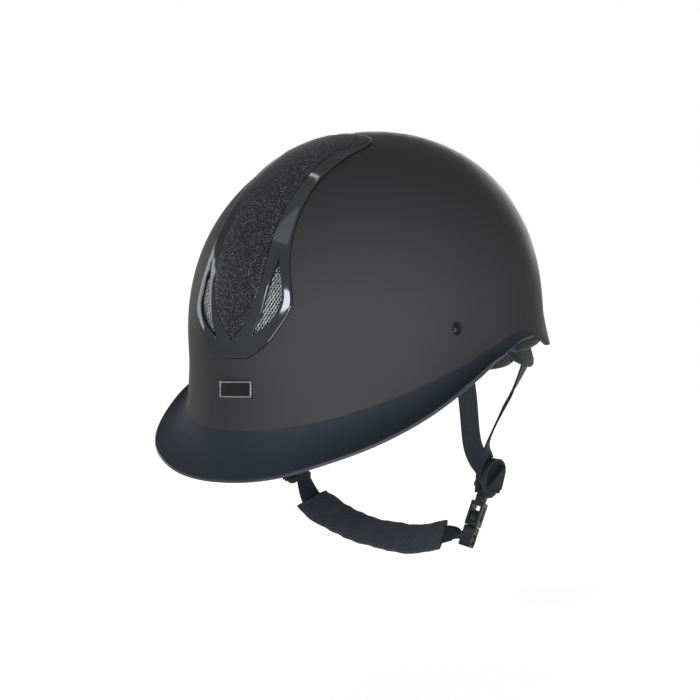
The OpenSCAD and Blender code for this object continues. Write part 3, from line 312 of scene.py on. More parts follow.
class Finish(Nodes):
    """A procedural material on a Principled shader."""

    def __init__(self, name, color, rough, metallic=0.0, **sockets):
        self.mat = bpy.data.materials.new(name)
        self.mat.use_nodes = True
        super().__init__(self.mat.node_tree)
        self.bsdf = self.tree.nodes["Principled BSDF"]
        sockets = {"Base_Color": (*color, 1), "Roughness": rough, "Metallic": metallic, **sockets}
        for socket, value in sockets.items():
            self.bsdf.inputs[socket.replace("_", " ")].default_value = value
        self.mat.diffuse_color = (*color, 1)
        self.normal = None

    def where(self, kind="Object"):
        return self.node("TexCoord").outputs[kind]

    def scaled(self, vector, factors):
        return self.mixed("VectorMath", vector, factors, operation="MULTIPLY")

    def noise(self, size, detail):
        """Soft noise whose blots are about size millimetres across."""
        return self.node("TexNoise", Vector=self.where(), Scale=1 / (size * MM), Detail=detail).outputs["Fac"]

    def cells(self, size, vector=None, output="Distance", feature="F1", randomness=1.0):
        """Cells about size millimetres across."""
        return self.node(
            "TexVoronoi", feature=feature, Vector=vector or self.where(), Scale=1 / (size * MM),
            Randomness=randomness,
        ).outputs[output]

    def span(self, fac, low, high, to_low, to_high):
        return self.node(
            "MapRange", Value=fac, From_Min=low, From_Max=high, To_Min=to_low, To_Max=to_high
        ).outputs["Result"]

    def tint(self, fac, color_a, color_b):
        n = self.node("Mix", data_type="RGBA", Factor=fac)
        for label, value in (("A", color_a), ("B", color_b)):
            target = next(s for s in n.inputs if s.name == label and s.type == "RGBA")
            target.default_value = (*value, 1)
        return next(s for s in n.outputs if s.type == "RGBA")

    def color(self, socket):
        self.tree.links.new(socket, self.bsdf.inputs["Base Color"])

    def rough(self, socket):
        self.tree.links.new(socket, self.bsdf.inputs["Roughness"])

    def mottled(self, size, dark, light, detail=2, spread=0.2):
        """Slow tone changes between two colours."""
        slow = self.span(self.noise(size, detail), 0.5 - spread, 0.5 + spread, 0, 1)
        self.color(self.tint(slow, dark, light))

    def rubbed(self, size, low, high, detail=4):
        """Patches of changing roughness."""
        self.rough(self.span(self.noise(size, detail), 0.3, 0.7, low, high))

    def ridges(self, value, pitch=1):
        """Round ridges side by side along a coordinate."""
        return self.math("ABSOLUTE", self.math("SINE", self.math("MULTIPLY", value, math.pi / pitch)))

    def threads(self, front, behind):
        """The height of one set of threads, which dips where it leaves the other."""
        return self.math("MULTIPLY", front, self.math("ADD", self.math("MULTIPLY", behind, 0.45), 0.55))

    def relief_shade(self, relief, size, low, dark, light):
        """Painted shade: a colour that darkens where the relief is low, in slowly changing strength."""
        slow = self.span(self.noise(size, 3), 0.2, 0.8, low, 1.1)
        tone = self.math("MULTIPLY", relief, slow)
        tone.node.use_clamp = True
        self.color(self.tint(tone, dark, light))

    def bump(self, height, depth, strength=1.0):
        """Adds relief. depth is in millimetres."""
        n = self.node("Bump", Height=height, Distance=depth * MM, Strength=strength)
        if self.normal is not None:
            self.tree.links.new(self.normal, n.inputs["Normal"])
        self.normal = n.outputs["Normal"]
        self.tree.links.new(self.normal, self.bsdf.inputs["Normal"])


EDGE_TINT = (0.5, 0.5, 0.5, 1)  # keeps dark metal dark where it is seen at a slant
CLOTH_GLOSS = {"Sheen_Roughness": 0.5, "Specular_IOR_Level": 0.1}
WEAVE_ROUGH, KNIT_ROUGH = 0.85, 0.9


def coated(f, tones, rubs, *grains):
    """Gives a finish tone changes, rubbed places and grains, each with its size first."""
    f.mottled(*tones)
    f.rubbed(*rubs)
    for size, detail, depth, strength in grains:
        f.bump(f.noise(size, detail), depth, strength)
    return f.mat


def moulded(name, dark, light, rough, grain=0.35, depth=0.02, gloss=0.12):
    """Moulded plastic: a fine spark-eroded grain, slow tone changes and faint rubbed places."""
    f = Finish(name, light, rough, Specular_IOR_Level=gloss)
    return coated(f, (28, dark, light), (9, rough - 0.05, rough + 0.06), (grain, 2, depth, 1))


def metal_finish(name, color, rough):
    """Dull metal, a little lighter where it is worn."""
    tones = (6, [c * 0.82 for c in color], [min(1, c * 1.15) for c in color], 4)
    f = Finish(name, color, rough, 1.0)
    return coated(f, tones, (2.5, rough - 0.05, rough + 0.08), (0.6, 2, 0.01, 1))


def shell_finish():
    """Rubber-touch lacquer: an even, very fine grain with barely visible orange peel."""
    f = Finish("shell_matte", (0.0395, 0.0385, 0.0405), 0.46, Specular_IOR_Level=0.012)
    tones = (60, (0.0375, 0.0364, 0.0385), (0.0416, 0.0404, 0.0425))
    return coated(f, tones, (14, 0.43, 0.49), (0.5, 2, 0.018, 1), (5, 1, 0.012, 0.6))


def brim_finish():
    """The brim's soft-touch skin, darker and bluer than the shell."""
    f = Finish("brim_matte", (0.024, 0.028, 0.038), 0.6, Specular_IOR_Level=0.02)
    tones = (45, (0.0230, 0.0275, 0.0375), (0.0265, 0.0310, 0.0420))
    return coated(f, tones, (11, 0.58, 0.66), (0.45, 2, 0.022, 1))


def chrome_finish():
    """Black chrome on moulded plastic: a dark mirror with faint sink and dust."""
    f = Finish("black_chrome", (0.04, 0.041, 0.045), 0.07, 1.0, Specular_Tint=EDGE_TINT)
    f.mottled(35, (0.036, 0.037, 0.041), (0.046, 0.047, 0.052), spread=0.15)
    f.rough(f.span(f.noise(7, 5), 0.35, 0.75, 0.055, 0.11))
    f.bump(f.noise(16, 1), 0.03, 0.5)
    return f.mat


def glitter_finish():
    """Glitter film: tight flakes that each face their own way, most dark and a few bright."""
    f = Finish("glitter", (0.03, 0.029, 0.031), 0.35, 0.9, Specular_IOR_Level=0.1, Specular_Tint=EDGE_TINT)
    flake = f.node("SeparateColor", Color=f.cells(0.4, output="Color")).outputs
    f.color(f.tint(f.math("POWER", flake[0], 12.0), (0.018, 0.0172, 0.020), (0.22, 0.22, 0.23)))
    f.rough(f.span(flake[1], 0, 1, 0.22, 0.6))
    f.bump(flake[2], 0.14, 0.9)
    f.bump(f.noise(6, 2), 0.1, 0.3)
    return f.mat


def woven(name, dark, light, pitch, ridge, ribs=0.0):
    """Woven cloth on a piece whose UVs are in millimetres: warp and weft pass over each other in turn."""
    f = Finish(name, light, WEAVE_ROUGH, Sheen_Weight=0.1, **CLOTH_GLOSS)
    uv = f.scaled(f.where("UV"), (1 / pitch[0], 1 / pitch[1], 0))
    xyz = f.node("SeparateXYZ", Vector=uv).outputs
    warp, weft = f.ridges(xyz[0]), f.ridges(xyz[1])
    turns = f.node("TexChecker", Vector=uv, Scale=1.0).outputs["Fac"]
    over = f.math("MULTIPLY", f.threads(warp, weft), turns)
    under = f.math("MULTIPLY", f.threads(weft, warp), f.math("SUBTRACT", 1.0, turns))
    relief = f.math("ADD", over, under)
    # Painted shade: the threads darken towards their sides and where they pass under each other.
    f.relief_shade(relief, 5, 0.75, dark, light)
    fibre = f.noise(0.35, 3)
    f.rough(f.span(fibre, 0.3, 0.7, WEAVE_ROUGH - 0.08, WEAVE_ROUGH + 0.08))
    f.bump(relief, ridge)
    if ribs:
        f.bump(f.ridges(xyz[0], 5), ribs)
    f.bump(fibre, ridge * 0.3, 0.5)
    return f.mat


def knit(name, dark, light, loop=1.3, depth=0.18):
    """A knitted or spacer fabric, by object position so that it needs no UVs."""
    f = Finish(name, light, KNIT_ROUGH, Sheen_Weight=0.12, **CLOTH_GLOSS)
    loops = f.cells(loop, f.scaled(f.where(), (1.0, 1.0, 0.7)), randomness=0.35)
    hole = f.span(loops, 0.15, 0.6, 1, 0)
    # Painted shade: the loops darken towards the gaps between them.
    f.relief_shade(hole, 9, 0.7, dark, light)
    f.rubbed(0.6, KNIT_ROUGH - 0.07, KNIT_ROUGH + 0.07, 2)
    f.bump(hole, depth)
    f.bump(f.noise(0.35, 3), 0.05, 0.5)
    return f.mat


def foam_finish():
    """Black expanded foam: fused beads a few millimetres across."""
    f = Finish("liner_foam", (0.02, 0.0205, 0.022), 0.8, Specular_IOR_Level=0.12)
    bead, edge = f.cells(3.2), f.cells(3.2, feature="DISTANCE_TO_EDGE")
    f.color(f.tint(f.span(edge, 0, 0.2, 0, 1), (0.009, 0.009, 0.010), (0.026, 0.027, 0.029)))
    f.rough(f.span(bead, 0, 0.8, 0.7, 0.86))
    f.bump(f.span(edge, 0, 0.25, 0, 1), 0.12)
    f.bump(f.noise(0.6, 2), 0.03, 0.5)
    return f.mat


SATIN = {"depth": 0.015, "gloss": 0.05}
SHELL = shell_finish()
BRIM = brim_finish()
CHROME = chrome_finish()
GLITTER = glitter_finish()
# Painted highlight: the brim's rolled lip is a lighter colour than the brim, standing in for the highlight
# along its edge.
LIP_PAINTED_HIGHLIGHT = moulded("lip_edge_painted_highlight", (0.028, 0.031, 0.040), (0.040, 0.044, 0.055), 0.42, depth=0.012)
MESH = metal_finish("mesh_silver", (0.24, 0.245, 0.255), 0.3)
STEEL = metal_finish("steel", (0.32, 0.325, 0.34), 0.35)
BADGE_RIM = metal_finish("badge_rim_silver", (0.22, 0.225, 0.235), 0.22)
BADGE = moulded("badge_black", (0.006, 0.006, 0.007), (0.010, 0.010, 0.011), 0.14, depth=0.003)
RIVET = moulded("rivet_black", (0.004, 0.004, 0.0045), (0.007, 0.007, 0.0075), 0.2, depth=0.006)
FRAME = moulded("harness_plastic", (0.010, 0.011, 0.013), (0.018, 0.019, 0.022), 0.36, depth=0.015)
BUCKLE = moulded("buckle_plastic", (0.013, 0.014, 0.016), (0.022, 0.023, 0.026), 0.42, **SATIN)
PRONG = moulded("prong_plastic", (0.022, 0.023, 0.025), (0.030, 0.031, 0.034), 0.42, **SATIN)
FIT = moulded("fit_plastic", (0.016, 0.017, 0.019), (0.026, 0.027, 0.030), 0.45)
FOAM = foam_finish()
PAD = knit("pad_knit", (0.007, 0.008, 0.011), (0.030, 0.033, 0.042))
# Painted shade: the nape lining's colours are darkened for the shadow it sits in under the shell.
LINING_PAINTED_SHADE = knit("lining_cloth", (0.004, 0.005, 0.007), (0.012, 0.014, 0.020), loop=0.55, depth=0.05)
COVER = knit("cover_cloth", (0.021, 0.025, 0.035), (0.057, 0.068, 0.094), loop=0.7, depth=0.05)
# Painted shade: the nape flaps' colours are darkened for the shadow they sit in under the shell.
FLAP_PAINTED_SHADE = woven("flap_weave", (0.003, 0.0035, 0.0045), (0.015, 0.016, 0.020), (1.5, 1.5), 0.22)
WEB = woven("webbing", (0.004, 0.005, 0.009), (0.016, 0.020, 0.031), (0.85, 1.5), 0.14, ribs=0.05)
THREAD = moulded("thread", (0.016, 0.019, 0.027), (0.036, 0.042, 0.056), 0.7, grain=0.3, depth=0.03)


# Sweeps and strips
def slab(name, outer, inner, sharp, skip=None, weld=0.0, uv=None, wrap_cols=False):
    """A closed skin of two matching grids. Walls close every open edge, also round cells in skip."""
    rows, cols = outer.shape[:2]
    n = rows * cols
    cells = grid_faces(rows, cols, wrap_cols=wrap_cols)
    if skip is not None:
        cells = [f for f, out in zip(cells, skip.ravel()) if not out]
    edges = dict.fromkeys(pair for f in cells for pair in zip(f, f[1:] + f[:1]))
    walls = [(b, a, a + n, b + n) for a, b in edges if (b, a) not in edges]
    faces = cells + [tuple(n + i for i in reversed(f)) for f in cells] + walls
    both = np.concatenate([outer.reshape(-1, 3), inner.reshape(-1, 3)])
    if uv is not None:
        uv = np.concatenate([uv.reshape(-1, 2), uv.reshape(-1, 2)])
    return make(name, both, faces, uv, sharp, weld)


def spline(stops, n):
    """A smooth curve through stops, with n steps between each two."""
    p = np.array(stops, float)
    last = len(p) - 1
    out = []
    for i in range(last):
        a, b, c, d = p[max(0, i - 1)], p[i], p[i + 1], p[min(last, i + 2)]
        for s in np.arange(n) / n:
            out.append(0.5 * (
                2 * b + (c - a) * s + (2 * a - 5 * b + 4 * c - d) * s**2 + (3 * b - a - 3 * c + d) * s**3
            ))
    return np.array(out + [p[-1]])


def blended(aims, count):
    """Directions spread evenly along a path of count points."""
    f = np.linspace(0, len(aims) - 1, count)
    i = np.minimum(f.astype(int), len(aims) - 2)
    aims = np.array(aims, float)
    return aims[i] * (1 - f + i)[:, None] + aims[i + 1] * (f - i)[:, None]


def tangents(path, closed=False):
    if closed:
        return unit(np.roll(path, -1, 0) - np.roll(path, 1, 0))
    step = np.empty_like(path)
    step[1:-1] = path[2:] - path[:-2]
    step[0], step[-1] = path[1] - path[0], path[-1] - path[-2]
    return unit(step)


def lengths(path):
    return np.concatenate([[0], np.cumsum(np.linalg.norm(np.diff(path, axis=0), axis=1))])


STRIP_FLAT, STRIP_CAP = 8, 4  # faces across a strip's flat side and round its edge


def strip_section(width, thick):
    """Round-edged flat section, as pairs across and through."""
    r = thick / 2
    w = width / 2 - r
    flat = np.linspace(w, -w, STRIP_FLAT + 1)[1:-1]
    right = [(w + r * cosd(a), r * sind(a)) for a in np.linspace(-90, 90, STRIP_CAP + 1)]
    top = [(x, r) for x in flat]
    left = [(-w + r * cosd(a), r * sind(a)) for a in np.linspace(90, 270, STRIP_CAP + 1)]
    low = [(-x, -r) for x in flat]
    return np.array(right + top + left + low)


def strip_frames(stops, aims, n):
    """The points along a strip, and the directions of its width and of its face at each."""
    path = spline(stops, n)
    along = tangents(path)
    x = across(blended(aims, len(path)), along)
    return path, x, unit(np.cross(along, x))


def strip(name, stops, aims, width, thick, n):
    """Webbing along a path, with its width along the aims."""
    path, x, y = strip_frames(stops, aims, n)
    section = strip_section(width, thick)
    rows = path[:, None] + x[:, None] * section[None, :, :1] + y[:, None] * section[None, :, 1:]
    uv = np.stack(np.broadcast_arrays(section[None, :, 0], lengths(path)[:, None]), -1)
    return tube_grid(name, rows, uv, sharp=50)


ODD_WAY = np.array([0.37, 0.53, 0.76])  # a direction that few paths take
CORD_SIDES, WIRE_SIDES = 8, 6


def tube_points(path, radius, sides, closed=False):
    """Loops of points round a path, carried along it without twist."""
    path = np.asarray(path, float)
    along = tangents(path, closed)
    side = across(ODD_WAY if abs(along[0] @ unit(ODD_WAY)) < 0.9 else [1, 0, 0], along[0])
    frames = []
    for t in along:
        side = across(side, t)
        frames.append((side, np.cross(t, side)))
    a = np.linspace(0, 2 * math.pi, sides, endpoint=False)[:, None]
    return np.array([p + radius * (np.cos(a) * s + np.sin(a) * q) for p, (s, q) in zip(path, frames)])


def tube(name, path, radius, closed=False):
    rows = tube_points(path, radius, CORD_SIDES, closed)
    faces = grid_faces(len(rows), CORD_SIDES, wrap_rows=closed)
    if not closed:
        faces += end_faces(len(rows), CORD_SIDES)
    return make(name, rows, faces, sharp=60)


def many_tubes(name, paths, radius):
    """Several open tubes as one piece, such as a row of stitches or a mesh of wires."""
    verts, faces, first = [], [], 0
    for path in paths:
        rows = tube_points(path, radius, WIRE_SIDES)
        verts.append(rows.reshape(-1, 3))
        faces += grid_faces(len(rows), WIRE_SIDES, first=first) + end_faces(len(rows), WIRE_SIDES, first)
        first += len(rows) * WIRE_SIDES
    return make(name, np.concatenate(verts), faces, sharp=60)


STITCH_PITCH, STITCH_LENGTH, STITCH_LIFT, STITCH_SUNK = 2.6, 1.9, 0.18, 0.1
THREAD_R = 0.2


def stitches(path, normal):
    """The visible threads of one seam: short arcs that lie on the cloth."""
    path, normal = np.asarray(path, float), np.broadcast_to(normal, np.shape(path))
    s = lengths(path)

    def at(d, v):
        return np.array([np.interp(d, s, v[:, k]) for k in range(3)])

    threads = []
    for start in np.arange(STITCH_PITCH / 2, s[-1] - STITCH_LENGTH, STITCH_PITCH):
        arc = []
        for f in (0, 0.25, 0.5, 0.75, 1):
            d = start + STITCH_LENGTH * f
            arc.append(at(d, path) + at(d, normal) * (STITCH_LIFT * math.sin(math.pi * f) - STITCH_SUNK))
        threads.append(arc)
    return threads


def sew(name, threads, body="helmet", radius=THREAD_R):
    dress(many_tubes(name, threads, radius), THREAD, body=body)


def softened(node, radius, material, slot, body="helmet", segments=2):
    """A CAD node's own shape with its edges rounded."""
    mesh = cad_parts[node].data.copy()
    bm = bmesh.new()
    bm.from_mesh(mesh)
    bmesh.ops.remove_doubles(bm, verts=bm.verts, dist=0.002 * MM)
    bmesh.ops.dissolve_limit(bm, angle_limit=math.radians(1), verts=bm.verts, edges=bm.edges)
    bm.to_mesh(mesh)
    bm.free()
    obj = place(node + "_dressed", mesh)
    bevel = obj.modifiers.new("edges", "BEVEL")
    bevel.width, bevel.segments, bevel.limit_method = radius * MM, segments, "ANGLE"
    bevel.angle_limit, bevel.use_clamp_overlap = math.radians(38), True
    apply_modifiers(obj)
    obj.data.shade_smooth()
    obj.data.set_sharp_from_angle(angle=math.radians(40))
    return dress(obj, material, node, body=body, slot=slot)


# Vents: a leaf in the panel on each side
LEAF_LOW, LEAF_HIGH, LEAF_STEPS = 4, 23, 26
LEAF_IN = [[LEAF_LOW, 15.6], [8, 20.4], [12.5, 23.4], [18, 26], [LEAF_HIGH, 28.2]]
LEAF_OUT = [
    [LEAF_LOW, 16.4], [5.2, 21.4], [7, 27.2], [9.5, 31.8], [12.5, 34], [17.5, 32.2], [LEAF_HIGH, 28.6],
]
VENT_MID, VENT_SIDE, VENT_SEAT = 12.5, 26.5, 0.6
VENT_AT = over_top(VENT_MID, VENT_SIDE, 0)
VENT_UP = unit(over_top(VENT_MID + 6, VENT_SIDE, 0) - over_top(VENT_MID - 6, VENT_SIDE, 0))
VENT_X = across(over_top(VENT_MID, VENT_SIDE + 6, 0) - over_top(VENT_MID, VENT_SIDE - 6, 0), VENT_UP)
VENT_OUT = np.cross(VENT_X, VENT_UP)


def leaf(grow):
    """The leaf's outline in the vent's own plane, grown by a distance."""
    m = LEAF_LOW + (LEAF_HIGH - LEAF_LOW) * (1 - np.cos(np.linspace(0, math.pi, LEAF_STEPS))) / 2
    ring = np.concatenate([
        over_top(m, smooth(LEAF_IN, m), 0), over_top(m[::-1], smooth(LEAF_OUT, m[::-1]), 0),
    ]) - VENT_AT
    flat = np.stack([ring @ VENT_X, ring @ VENT_UP], -1)
    return flat + unit(flat - flat.mean(0)) * grow


def vent_space(side, flat, depth, bend=0.0):
    """Points of the vent's plane at a depth below the shell's surface, bent up and down over a radius."""
    flat = np.asarray(flat, float)
    if bend:
        depth = depth + bend - np.sqrt(bend**2 - flat[..., 1:] ** 2)
    p = VENT_AT + flat[..., :1] * VENT_X + flat[..., 1:] * VENT_UP - VENT_OUT * depth
    return mirror_x(p, side)


def vent_cutter(side, grow, top, bottom):
    ring = leaf(grow)
    return tube_grid("cutter", [vent_space(side, ring, -top), vent_space(side, ring, bottom)])


# Shell and liner
COLUMNS = 216
AROUND = np.linspace(0, 360, COLUMNS, endpoint=False)
SHELL_CORNER, LINER_CORNER = 0.5, 2.6


def dome(name, out, inn, edge, corner):
    """A dome with a wall, whose lower edge is rounded with radius corner."""
    low = edge(AROUND)
    rows = [crown(AROUND, t, out) for t in np.linspace(90, 0, 52)]
    rows += [wall(AROUND, (low + corner) * f, out) for f in np.linspace(0, 1, 9)[1:]]
    for a in np.linspace(0, 90, 6)[1:]:
        rows.append(wall(AROUND, low + corner * (1 - sind(a)), out - corner * (1 - cosd(a))))
    for a in np.linspace(90, 0, 6):
        rows.append(wall(AROUND, low + corner * (1 - sind(a)), inn + corner * (1 - cosd(a))))
    rows += [wall(AROUND, (low + corner) * f, inn) for f in np.linspace(1, 0, 7)[1:]]
    rows += [crown(AROUND, t, inn) for t in np.linspace(0, 90, 40)[1:]]
    obj = make(name, np.array(rows), grid_faces(len(rows), COLUMNS), sharp=50)
    return finish_mesh(obj, 50, 0.01)


def build_shell():
    shell = dome("shell_skin", 0, -SHELL_WALL, rim_z, SHELL_CORNER)
    for side in (-1, 1):
        cut(shell, vent_cutter(side, VENT_SEAT, 6, 6))
    dress(shell, SHELL, "outer_shell", slot="shell")


RIVET_U, RIVET_Z, WASHER_T = 72, 4.4, 0.9
STRAP_TURN = 76
STRAP_OUT = np.array([sind(STRAP_TURN), -cosd(STRAP_TURN), 0])
STRAP_BACK = np.array([cosd(STRAP_TURN), sind(STRAP_TURN), 0])
RIVET_AT = wall(RIVET_U, RIVET_Z, 0)
RIVET_D, RIVET_S = RIVET_AT @ STRAP_OUT, RIVET_AT @ STRAP_BACK
WEB_W, WEB_T = 15.0, 1.3
STRAP_GAP = 1.1
POCKET = SHELL_WALL + STRAP_GAP + WEB_T + WASHER_T + 2.2
POCKET_LOW, POCKET_HIGH = (-WEB_W / 2 - 1.5, -RIVET_Z - 40, -POCKET), (WEB_W / 2 + 5.5, 15.6, 5)
UP = np.array([0, 0, 1.0])


def in_plane(d, s, z):
    """A point of the front strap's plane: d out, s back and z up."""
    return STRAP_OUT * d + STRAP_BACK * s + UP * z


def pocket_cutter(side):
    """The room for the front strap in the liner's face."""
    at, back, out = (mirror_x(v, side) for v in (in_plane(RIVET_D, RIVET_S, RIVET_Z), STRAP_BACK, STRAP_OUT))
    (x0, y0, z0), (x1, y1, z1) = POCKET_LOW, POCKET_HIGH
    corners = [at + back * x + UP * y for x, y in ((x0, y0), (x1, y0), (x1, y1), (x0, y1))]
    return tube_grid("cutter", [[c + out * z for c in corners] for z in (z0, z1)])


def build_liner():
    liner = dome("liner_foam", LINER_OUT, LINER_IN, liner_z, LINER_CORNER)
    for side in (-1, 1):
        cut(liner, pocket_cutter(side))
        cut(liner, vent_cutter(side, 0, 4, 42))
    dress(liner, FOAM, "impact_liner", slot="liner")


# Front panel and glitter
PANEL_END = 81
PANEL_STOPS = [
    [0, 11], [0.5, 15.6], [1.2, 20.4], [2.6, 26.4], [5.5, 33], [8.2, 37.6], [11, 40.3], [15, 39.2],
    [22, 35.45], [34, 32], [48, 30.8], [58, 32.4], [68, 34.4], [74, 35.4], [77.6, 32.6], [79.8, 25.5],
    [PANEL_END, 12],
]
GLITTER_START, GLITTER_END = 3.8, 78.6
GLITTER_STOPS = [
    [GLITTER_START, 1.4], [5, 5.6], [8, 11.2], [12.5, 16.8], [20, 19.9], [36, 20.2], [57, 22.4], [65, 24.2],
    [69, 28], [72, 31.4], [75, 32.2], [77.4, 28], [GLITTER_END, 18],
]
RECESS_START, RECESS_END, RECESS_STEP = GLITTER_START - 0.5, GLITTER_END + 0.4, 0.06
PANEL_LOW, PANEL_HIGH, RECESS_LOW = 0.5, 1.75, 1.0
PANEL_ROUND, PANEL_ROLL = 1.25, 0.85
PANEL_DEGREE = 2.3  # millimetres over the top for one degree of m
GROOVE, GROOVE_SIDE, GROOVE_FADE = 0.3, 0.08, 0.6
WINDOW = 10  # the station before the open window
GLITTER_T, GLITTER_ROUND = 0.75, 0.5


def panel_roll(d):
    """How far the panel has rolled down at distance d from its border."""
    return PANEL_ROLL * float(rounding(d, PANEL_ROUND)) / PANEL_ROUND


def panel_stations(m):
    """Sideways distances and heights across one half of the panel's row m."""
    p = float(smooth(PANEL_STOPS, m))
    edge = [p - d for d in (PANEL_ROUND, 0.8, 0.45, 0.2, 0.06, 0)]
    room = edge[0] - 0.2
    g = float(smooth(GLITTER_STOPS, np.clip(m, GLITTER_START, GLITTER_END))) + SEAT
    g = min(g, room - 2)
    inner, outer = float(smooth(LEAF_IN, m)), float(smooth(LEAF_OUT, m))
    x = [0, g * 0.3, g * 0.6, g * 0.85, g, g + 0.12, g + 0.4, (g + inner) / 2]
    x += [inner - 0.45, inner - 0.15, inner, outer, outer + 0.15, outer + 0.45]
    x += [outer * 0.6 + room * 0.4, outer * 0.25 + room * 0.75]
    x = list(np.minimum(np.maximum.accumulate(x), room)) + edge

    rise = np.clip((m - LEAF_LOW + GROOVE_FADE) / GROOVE_FADE, 0, 1)
    near = float(rise * np.clip((LEAF_HIGH + GROOVE_FADE - m) / GROOVE_FADE, 0, 1))
    groove = [d * near for d in (GROOVE_SIDE, GROOVE, GROOVE, GROOVE_SIDE)]
    drop = [0] * (WINDOW - 1) + groove + [0] * 3 + [panel_roll(p - e) for e in edge]
    low = RECESS_LOW if RECESS_START <= m <= RECESS_END else PANEL_HIGH
    base = [low] * 5 + [PANEL_HIGH] * (len(x) - 5)
    end_drop = panel_roll(min(m, PANEL_END - m) * PANEL_DEGREE)
    return x, [b - max(d, end_drop) for b, d in zip(base, drop)]


def build_panel():
    ends = [0, 0.03, 0.1, 0.2, 0.35, 0.55]
    rows = sorted(set(
        ends + [PANEL_END - e for e in ends] + list(np.arange(1, PANEL_END, 0.75))
        + [RECESS_START - RECESS_STEP, RECESS_START, RECESS_END, RECESS_END + RECESS_STEP]
        + [LEAF_LOW + d for d in (0, 0.1, 0.3)] + [LEAF_HIGH - d for d in (0, 0.1, 0.3)]
    ))
    halves = [panel_stations(m) for m in rows]
    x = np.array([[-v for v in h[0][:0:-1]] + h[0] for h in halves])
    z = np.array([h[1][:0:-1] + h[1] for h in halves])
    m = np.array(rows)[:, None]
    cols = x.shape[1]
    middle = cols // 2
    skip = np.zeros((len(rows) - 1, cols - 1), bool)
    for r, (a, b) in enumerate(zip(rows, rows[1:])):
        if a >= LEAF_LOW and b <= LEAF_HIGH:
            skip[r, middle + WINDOW] = skip[r, middle - WINDOW - 1] = True
    outer, inner = over_top(m, x, z), over_top(m, x, PANEL_LOW)
    panel = slab("front_panel_chrome", outer, inner, skip=skip, sharp=55, weld=0.004)
    dress(panel, CHROME, "front_panel", slot="panel")


def build_glitter():
    ends = (0, 0.08, 0.2, 0.4)
    m = np.array(sorted(set(
        [GLITTER_START + d for d in ends] + [GLITTER_END - d for d in ends]
        + list(np.arange(5, GLITTER_END, 1))
    )))[:, None]
    half = smooth(GLITTER_STOPS, m)
    inset = np.array([0, 0.1, 0.25, 0.5])
    f = np.linspace(-1, 1, 13)[1:-1]
    x = np.concatenate([-half + inset, f * (half - 0.7), half - inset[::-1]], 1)
    d = np.minimum(half - np.abs(x), np.minimum(m - GLITTER_START, GLITTER_END - m) * PANEL_DEGREE)
    low = RECESS_LOW + SEAT
    high = low + GLITTER_T - 0.5 * rounding(d, GLITTER_ROUND)
    insert = slab("glitter_film", over_top(m, x, high), over_top(m, x, low), sharp=50, weld=0.004)
    dress(insert, GLITTER, "glitter_insert", slot="glitter")


# Vent meshes
STRAND_R, STRAND_PITCH, STRAND_LEAN, STRANDS = 0.27, 1.75, 32, 20
STRAND_REACH, STRAND_STEP, STRAND_LIFT = 48, 0.3, 0.2
MESH_DEPTH, MESH_BEND = 0.5, 130.0
SHORTEST_STRAND = 4  # in points


def inside(p, ring):
    """Whether a point lies in a closed outline."""
    a, b = ring, np.roll(ring, -1, 0)
    crosses = (a[:, 1] > p[1]) != (b[:, 1] > p[1])
    with np.errstate(divide="ignore", invalid="ignore"):
        at = a[:, 0] + (p[1] - a[:, 1]) * (b[:, 0] - a[:, 0]) / (b[:, 1] - a[:, 1])
    return bool(np.sum(crosses & (p[0] < at)) % 2)


def strand_paths(side):
    """Two sets of wires that pass over and under each other, each cut off at the leaf's outline."""
    ring, middle = leaf(0.1), leaf(0).mean(0)
    crossing = STRAND_PITCH / abs(sind(2 * STRAND_LEAN))
    paths = []
    for lean, phase in ((STRAND_LEAN, 0), (-STRAND_LEAN, math.pi)):
        run = np.array([sind(lean), cosd(lean)])
        step = np.array([run[1], -run[0]])
        for k in range(-STRANDS, STRANDS + 1):
            part = []
            for s in np.arange(-STRAND_REACH, STRAND_REACH, STRAND_STEP):
                q = middle + step * k * STRAND_PITCH + run * s
                if inside(q, ring):
                    lift = STRAND_LIFT * math.cos(math.pi * s / crossing + phase + k * math.pi)
                    part.append(vent_space(side, q, MESH_DEPTH - lift, MESH_BEND))
                else:
                    paths.append(part)
                    part = []
            paths.append(part)
    return [p for p in paths if len(p) > SHORTEST_STRAND]


def build_vent_mesh(side, node):
    """Round wires in a pressed rim."""
    dress(many_tubes(node + "_wires", strand_paths(side), STRAND_R), MESH, node, slot="mesh")
    outer, inner = leaf(0.3), leaf(-0.5)
    corners = ((outer, -0.3), (inner, -0.3), (inner, 0.3), (outer, 0.3))
    rows = np.array([vent_space(side, r, MESH_DEPTH + d, MESH_BEND) for r, d in corners])
    rim = make(node + "_rim", rows, grid_faces(4, rows.shape[1], wrap_rows=True), sharp=40)
    dress(rim, MESH, node, slot="mesh")


# Brim
BRIM_END, BRIM_WALL, BRIM_RISE, BRIM_TUCK = 108, 3.0, 0.35, 0.2
LIP_OVERHANG, LIP_REACH, LIP_MID = 10.0, 142.0, 16.8
LIP_HALF_W = HALF_W + LIP_OVERHANG
LIP_FRONT, LIP_TEMPLE, LIP_R = 72.0, 42.5, 1.2
LIP_CLOSE_FROM, LIP_CLOSE = 88, 0.92
LIP_STOPS = [
    [0, -LIP_FRONT], [16, -LIP_FRONT + 2.6], [32, -LIP_FRONT + 9.8],
    [48, -(LIP_FRONT + LIP_TEMPLE) / 2 + 3.4], [64, -LIP_TEMPLE], [80, -(LIP_TEMPLE + RIM_EAR) / 2 - 3.4],
    [96, -RIM_EAR - 7.6], [BRIM_END, -RIM_EAR - 5.8],
]
LIP_ROUND_X, LIP_ROUND_Y, LIP_TUCK = 0.9, 0.8, 0.22


def brim_end_share(u):
    """From 0, where the lip stands free, to 1 at the brim's end."""
    return smooth([[LIP_CLOSE_FROM, 0], [BRIM_END, 1]], np.abs(u))


